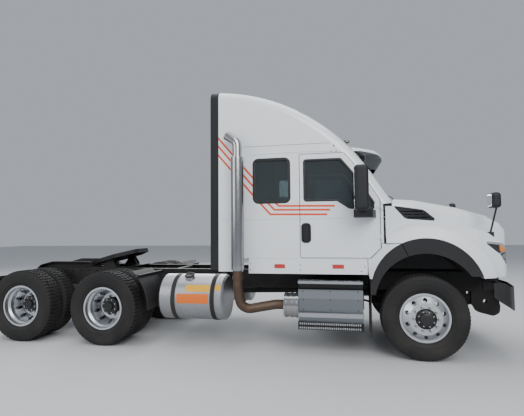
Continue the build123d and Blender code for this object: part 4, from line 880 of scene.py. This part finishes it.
class TRUCK_OT_blank_plates(bpy.types.Operator):
    """Make the blank coloured plates on the right tank"""
    bl_idname = "truck.blank_plates"
    bl_label = "Blank plates"

    def execute(self, context):
        x = FRONT_AXLE_X
        yellow = joined([tank_sheet(x - 3.119, x - 2.771, 0.772, 0.857),
                         tank_sheet(x - 2.697, x - 2.615, 0.790, 0.862)])
        make_piece("yellow_plates", mirrored(yellow), "chassis", "yellow", flat=True)
        band = tank_sheet(x - 3.241, x - 2.784, 0.612, 0.742)
        make_piece("orange_plate", mirrored(band), "chassis", "orange", flat=True)
        return {"FINISHED"}


# Mirrors

class TRUCK_OT_mirror_glass(bpy.types.Operator):
    """Make the glass of the door mirrors and the bonnet mirrors"""
    bl_idname = "truck.mirror_glass"
    bl_label = "Mirror glass"

    def execute(self, context):
        head_x, head_y = FRONT_AXLE_X - 0.820, 1.405
        main = crowned_block((head_x, head_y, 2.170), (0.0035, 0.118, 0.172), 0.22, 24, 32)
        wide = crowned_block((head_x, head_y, 1.912), (0.0035, 0.112, 0.060), 0.25, 20, 32)
        make_pair("mirror_glass", joined([main, wide]), "door_", "mirror")
        small = crowned_block((FRONT_AXLE_X + 0.823, 0.985, 1.950), (0.003, 0.078, 0.074), 0.3, 20, 32)
        make_pair("bonnet_mirror_glass", small, "bonnet", "mirror")
        return {"FINISHED"}


# Frame fastenings

class TRUCK_OT_frame_bolts(bpy.types.Operator):
    """Make the rows of flanged bolts on the frame rails"""
    bl_idname = "truck.frame_bolts"
    bl_label = "Frame bolts"

    def execute(self, context):
        bolt = turned([(0, 0), (0.017, 0), (0.016, 0.003), (0.012, 0.004), (0.012, 0.013), (0.010, 0.015),
                       (0, 0.015)], 6)
        rail_face_y, rows_z = 0.4298, (0.985, 0.800)
        x = FRONT_AXLE_X + np.concatenate([np.arange(-5.95, -3.60, 0.145), np.arange(-3.45, 0.60, 0.30)])
        spots = [(along, rail_face_y, z) for along in x for z in rows_z]
        left = copies(bolt, spots)
        both = joined([left, mirrored(left)])
        make_piece("frame_bolts", both, "chassis", "chassis", flat=True)
        return {"FINISHED"}


# Steps, tanks and cab fittings

class TRUCK_OT_step_trim(bpy.types.Operator):
    """Make the bright step bars, their gripping teeth and the rivets of the step boxes"""
    bl_idname = "truck.step_trim"
    bl_label = "Step trim"

    def execute(self, context):
        rear, front, outer = FRONT_AXLE_X - 1.546, FRONT_AXLE_X - 0.729, 1.150
        bars = [flat_block((rear, outer - 0.001, low), (front, outer + 0.0035, high))
                for low, high in ((0.914, 0.946), (0.487, 0.541))]
        make_pair("step_bars", joined(bars), "chassis", "plated", flat=True)
        across = np.arange(rear + 0.022, front - 0.015, 0.027)
        tooth = crowned_block(ORIGIN, (0.009, 0.0035, 0.013), 0.3, 8, 12)
        grip = crowned_block(ORIGIN, (0.006, 0.030, 0.003), 0.3, 8, 12)
        teeth = [copies(tooth, [(x, outer + 0.001, z) for x in across for z in (0.352, 0.404)]),
                 copies(grip, [(x, 1.100, 0.952) for x in across])]
        make_pair("step_teeth", joined(teeth), "chassis", "plated")
        rivet = turned([(0, 0), (0.008, 0), (0.0075, 0.0025), (0.004, 0.0042), (0, 0.0045)], 12)
        columns = np.linspace(rear + 0.06, front - 0.06, 3)
        spots = [(x, 1.0975, z) for x in columns for z in (0.575, 0.700, 0.808)]
        make_pair("step_rivets", copies(rivet, spots), "chassis", "seal")
        return {"FINISHED"}


class TRUCK_OT_filler_caps(bpy.types.Operator):
    """Make the ribbed black caps on the necks of the tanks"""
    bl_idname = "truck.filler_caps"
    bl_label = "Filler caps"

    def execute(self, context):
        direction = np.array((0.0, 0.030, 0.068)) / math.hypot(0.030, 0.068)
        top = np.array((FRONT_AXLE_X - 3.110, 0.952, 0.983))
        cap = turned([(0, 0), (0.066, 0), (0.068, 0.004), (0.068, 0.018), (0.063, 0.022), (0.050, 0.023),
                      (0.046, 0.019), (0, 0.019)], 40)
        count = 20
        angle = np.arange(count) * 2 * np.pi / count
        rib = crowned_block(ORIGIN, (0.0035, 0.009, 0.0035), 0.5, 8, 10)
        radius = 0.0685
        spots = np.stack([radius * np.sin(angle), np.full(count, 0.010), radius * np.cos(angle)], axis=1)
        shape = aimed(joined([cap, copies(rib, spots)]), direction, top - 0.014 * direction)
        make_pair("filler_cap", shape, "chassis", "trim")
        return {"FINISHED"}


class TRUCK_OT_cab_trim(bpy.types.Operator):
    """Make the drip rails, the roof seam strips and the visor's bolt caps"""
    bl_idname = "truck.cab_trim"
    bl_label = "Cab trim"

    def execute(self, context):
        x = FRONT_AXLE_X
        steps = 24
        share = np.linspace(0.0, 1.0, steps)
        length = 1.180
        rail = np.stack([x - 2.150 + length * share, np.full(steps, CAB_SKIN_Y + 0.0013),
                         2.640 + 0.012 * np.sin(share * np.pi)], axis=1)
        make_pair("drip_rail", along_path(rail, 0.0055, 10), "chassis", "white")
        seam = np.stack([x - 2.290 + length * share, np.full(steps, CAB_SKIN_Y + 0.0008),
                         np.full(steps, 2.7545)], axis=1)
        make_pair("roof_seam", along_path(seam, 0.0024, 6), "chassis", "seal")
        cap = turned([(0, 0), (0.0105, 0), (0.0100, 0.003), (0.006, 0.0055), (0, 0.006)], 14)
        spots = [(x + away, CAB_SKIN_Y + 0.0006, z)
                 for away, z in ((-1.056, 2.713), (-1.093, 2.643), (-1.028, 2.640))]
        make_pair("visor_caps", copies(cap, spots), "chassis", "seal")
        return {"FINISHED"}


class TRUCK_OT_brakes(bpy.types.Operator):
    """Make the brake chambers behind the driven axles, each seated on its tube"""
    bl_idname = "truck.brakes"
    bl_label = "Brake chambers"

    def execute(self, context):
        can = turned([(0, 0), (0.040, 0), (0.055, 0.020), (0.074, 0.030), (0.078, 0.036), (0.078, 0.046),
                      (0.072, 0.050), (0.072, 0.094), (0.078, 0.098), (0.078, 0.108), (0.072, 0.112),
                      (0.070, 0.170), (0.050, 0.186), (0, 0.190)], 28)
        for axle in DRIVE_AXLES:
            for side, sign in SIDES.items():
                place = (AXLE_X[axle] - 0.066, sign * 0.240, 0.545)
                chamber = aimed(can, (-1.0, 0.0, 0.16), place)
                make_piece(f"brake_chamber_{axle}_{side}", chamber, "chassis", "chassis")
        return {"FINISHED"}


# Seats and bunk

# Size of a cloth's grid cell for the seats and the mattress
SEAT_VOXEL = 0.009
MATTRESS_VOXEL = 0.014
SEATS_Y = (-0.52, 0.52)
CLOTH_FRAMES = 20


def coordinates_of(mesh):
    """The mesh's vertices as an array of points."""
    points = np.empty(len(mesh.vertices) * 3)
    mesh.vertices.foreach_get("co", points)
    return points.reshape(-1, 3)


def swollen(name, shape, voxel, cap):
    """The closed shape blown up as cloth by an inner pressure; no point moves further than the cap."""
    points, quads = shape
    mesh = bpy.data.meshes.new(name)
    mesh.from_pydata(points.tolist(), [], quads.tolist())
    clean(mesh, smooth=False)
    scene = bpy.context.scene
    trial = bpy.data.objects.new(name, mesh)
    scene.collection.objects.link(trial)
    remesh = trial.modifiers.new("Even grid", "REMESH")
    remesh.mode = "VOXEL"
    remesh.voxel_size = voxel
    even = bpy.data.meshes.new_from_object(trial.evaluated_get(bpy.context.evaluated_depsgraph_get()))
    trial.modifiers.clear()
    trial.data = even
    start = coordinates_of(even)
    end = start
    cloth = trial.modifiers.new("Cloth", "CLOTH")
    cloth.settings.use_pressure = True
    cloth.settings.uniform_pressure_force = 4.0
    cloth.settings.effector_weights.gravity = 0.0
    cloth.point_cache.frame_end = CLOTH_FRAMES
    for step in range(1, CLOTH_FRAMES + 1):
        scene.frame_set(step)
    end = coordinates_of(trial.evaluated_get(bpy.context.evaluated_depsgraph_get()).data)
    scene.frame_set(1)
    move = end - start
    length = np.linalg.norm(move, axis=1, keepdims=True)
    settled = start + move * np.minimum(1.0, cap / np.maximum(length, 1e-9))
    faces = np.empty(len(even.loops), dtype=np.int32)
    even.loops.foreach_get("vertex_index", faces)
    bpy.data.objects.remove(trial)
    return settled, faces.reshape(-1, 4)


def pressed_channels(points, spacing, depth, y_middle):
    """Sewn channels pressed into the upper face: a narrow dip at every spacing across the width."""
    phase = (points[:, 1] - y_middle) / spacing
    dip = np.exp(-((phase - np.round(phase)) * spacing / 0.010) ** 2)
    top = points[:, 2].max()
    share = np.clip((points[:, 2] - top + 0.045) / 0.045, 0.0, 1.0)
    sunk = points.copy()
    sunk[:, 2] -= depth * dip * share
    return sunk


def leaned(shape, centre, angle):
    """The shape turned about a line along Y through a point: a lean backwards by an angle."""
    points, quads = shape
    local = points - np.asarray(centre)
    c, s = math.cos(angle), math.sin(angle)
    x = local[:, 0] * c + local[:, 2] * s
    z = -local[:, 0] * s + local[:, 2] * c
    return np.stack([x, local[:, 1], z], axis=1) + np.asarray(centre), quads


class TRUCK_OT_cushions(bpy.types.Operator):
    """Make the seat cushions and the bunk's mattress as padded pieces"""
    bl_idname = "truck.cushions"
    bl_label = "Cushions"

    def execute(self, context):
        parts = []
        hinges = []
        for number, y in enumerate(SEATS_Y):
            block = crowned_block((FRONT_AXLE_X - 1.27, y, 1.688), (0.236, 0.236, 0.058), 0.42)
            points, faces = swollen(f"cushion_{number}", block, SEAT_VOXEL, 0.012)
            points = pressed_channels(points, 0.118, 0.007, y)
            points[:, 2] = np.maximum(points[:, 2], 1.6203)
            parts.append((points, faces))
            centre = (FRONT_AXLE_X - 1.488, y, 2.105)
            block = crowned_block(centre, (0.052, 0.226, 0.310), 0.42)
            back = swollen(f"back_{number}", block, SEAT_VOXEL, 0.010)
            parts.append(leaned(back, centre, math.radians(-7.6)))
            low = (FRONT_AXLE_X - 1.515, y - 0.115, 1.700)
            hinges.append(flat_block(low, (FRONT_AXLE_X - 1.435, y + 0.115, 1.875)))
        make_piece("seat_hinges", joined(hinges), "chassis", "trim")
        seats = make_piece("seat_cushions", joined(parts), "chassis", "cloth")
        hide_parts("seats")
        block = crowned_block((FRONT_AXLE_X - 1.935, 0.0, 1.7830), (0.284, 0.988, 0.0640), 0.30, 36, 90)
        points, faces = swollen("mattress", block, MATTRESS_VOXEL, 0.012)
        points = pressed_channels(points, 0.220, 0.008, 0.0)
        points[:, 2] = np.maximum(points[:, 2], 1.7103)
        bunk = make_piece("bunk_mattress", (points, faces), "chassis", "cloth")
        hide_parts("bunk")
        return {"FINISHED"}


# Finishes on the frame's own nodes

class TRUCK_OT_node_finishes(bpy.types.Operator):
    """Give each carried-over node its finish"""
    bl_idname = "truck.node_finishes"
    bl_label = "Finishes"

    def execute(self, context):
        sizes, colours = context.scene.truck_sizes, context.scene.truck_colours
        for make_group in (road_dust_group, surface_grain_group, scuff_group, weave_group, perforation_group):
            make_group()
        stripe_group(sizes.stripe_width)
        make_finishes(sizes, colours)
        for finish, nodes in NODE_FINISHES.items():
            for node in nodes:
                for place in NODES[node].material_slots:
                    place.material = FINISHES[finish]
        return {"FINISHED"}


# Stage

class TRUCK_OT_stage(bpy.types.Operator):
    """Set up the pale floor, the soft lights and the camera"""
    bl_idname = "truck.stage"
    bl_label = "Stage"

    def execute(self, context):
        reach = 40.0
        mesh = bpy.data.meshes.new("floor")
        corners = [(-reach, -reach, 0), (reach, -reach, 0), (reach, reach, 0), (-reach, reach, 0)]
        mesh.from_pydata(corners, [], [(0, 1, 2, 3)])
        floor = bpy.data.objects.new("floor", mesh)
        context.scene.collection.objects.link(floor)
        Finish("floor", "Pale floor", (0.55, 0.56, 0.57), 0.9).grained(30.0, 0.001, 0.2)
        mesh.materials.append(FINISHES["floor"])

        world = bpy.data.worlds.new("Soft sky")
        world.use_nodes = True
        sky = world.node_tree.nodes["Background"].inputs
        sky["Color"].default_value = (0.80, 0.86, 0.94, 1.0)
        sky["Strength"].default_value = 0.52
        context.scene.world = world
        for name, place, size, power in (
                ("key", (6.0, -12.0, 9.0), 9.0, 1500.0),
                ("fill", (-9.0, -9.0, 6.0), 8.0, 500.0),
                ("top", (0.0, 1.0, 12.0), 12.0, 900.0),
                ("rim", (-4.0, 11.0, 7.0), 8.0, 900.0)):
            light = bpy.data.lights.new(name, "AREA")
            light.energy = power
            light.size = size
            lamp = bpy.data.objects.new(name, light)
            lamp.location = place
            aim = Vector((0.0, 0.0, 1.5)) - Vector(place)
            lamp.rotation_euler = aim.to_track_quat("-Z", "Y").to_euler()
            context.scene.collection.objects.link(lamp)

        camera_data = bpy.data.cameras.new("camera")
        camera_data.sensor_width = 36.0
        camera_data.lens = 27.36
        camera = bpy.data.objects.new("camera", camera_data)
        yaw, pitch, roll = math.radians(-11.28), math.radians(3.45), math.radians(-0.49)
        ahead = Vector((math.sin(yaw) * math.cos(pitch), math.cos(yaw) * math.cos(pitch), math.sin(pitch)))
        right = Vector((math.cos(yaw), -math.sin(yaw), 0.0))
        up = right.cross(ahead)
        right_rolled = right * math.cos(roll) + up * math.sin(roll)
        up_rolled = -right * math.sin(roll) + up * math.cos(roll)
        turn = Matrix((right_rolled, up_rolled, -ahead)).transposed()
        place = (FRONT_AXLE_X - 0.975, -6.357, 1.584)
        camera.matrix_world = Matrix.Translation(place) @ turn.to_4x4()
        context.scene.collection.objects.link(camera)
        context.scene.camera = camera
        return {"FINISHED"}


OPERATORS = (
    TRUCK_OT_node_finishes, TRUCK_OT_stage, TRUCK_OT_tyres, TRUCK_OT_wheel_nuts, TRUCK_OT_window_trim,
    TRUCK_OT_wipers, TRUCK_OT_small_lamps, TRUCK_OT_blank_plates, TRUCK_OT_mirror_glass,
    TRUCK_OT_frame_bolts, TRUCK_OT_step_trim, TRUCK_OT_filler_caps, TRUCK_OT_cab_trim, TRUCK_OT_brakes,
    TRUCK_OT_cushions,
)


class TRUCK_PT_panel(bpy.types.Panel):
    bl_idname = "TRUCK_PT_panel"
    bl_label = "Tractor unit"
    bl_space_type = "VIEW_3D"
    bl_region_type = "UI"
    bl_category = "Truck"

    def draw(self, context):
        layout = self.layout
        for owner in (context.scene.truck_sizes, context.scene.truck_colours):
            for name in owner.__annotations__:
                layout.prop(owner, name)
        for operator in OPERATORS:
            layout.operator(operator.bl_idname)


CLASSES = (TruckSizes, TruckColours, *OPERATORS, TRUCK_PT_panel)


def register():
    for cls in CLASSES:
        bpy.utils.register_class(cls)
    bpy.types.Scene.truck_sizes = bpy.props.PointerProperty(type=TruckSizes)
    bpy.types.Scene.truck_colours = bpy.props.PointerProperty(type=TruckColours)


def unregister():
    del bpy.types.Scene.truck_colours
    del bpy.types.Scene.truck_sizes
    for cls in reversed(CLASSES):
        bpy.utils.unregister_class(cls)


def main():
    """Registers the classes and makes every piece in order."""
    register()
    for operator in OPERATORS:
        group, name = operator.bl_idname.split(".")
        getattr(getattr(bpy.ops, group), name)()
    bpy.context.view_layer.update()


if __name__ == "__main__":
    main()
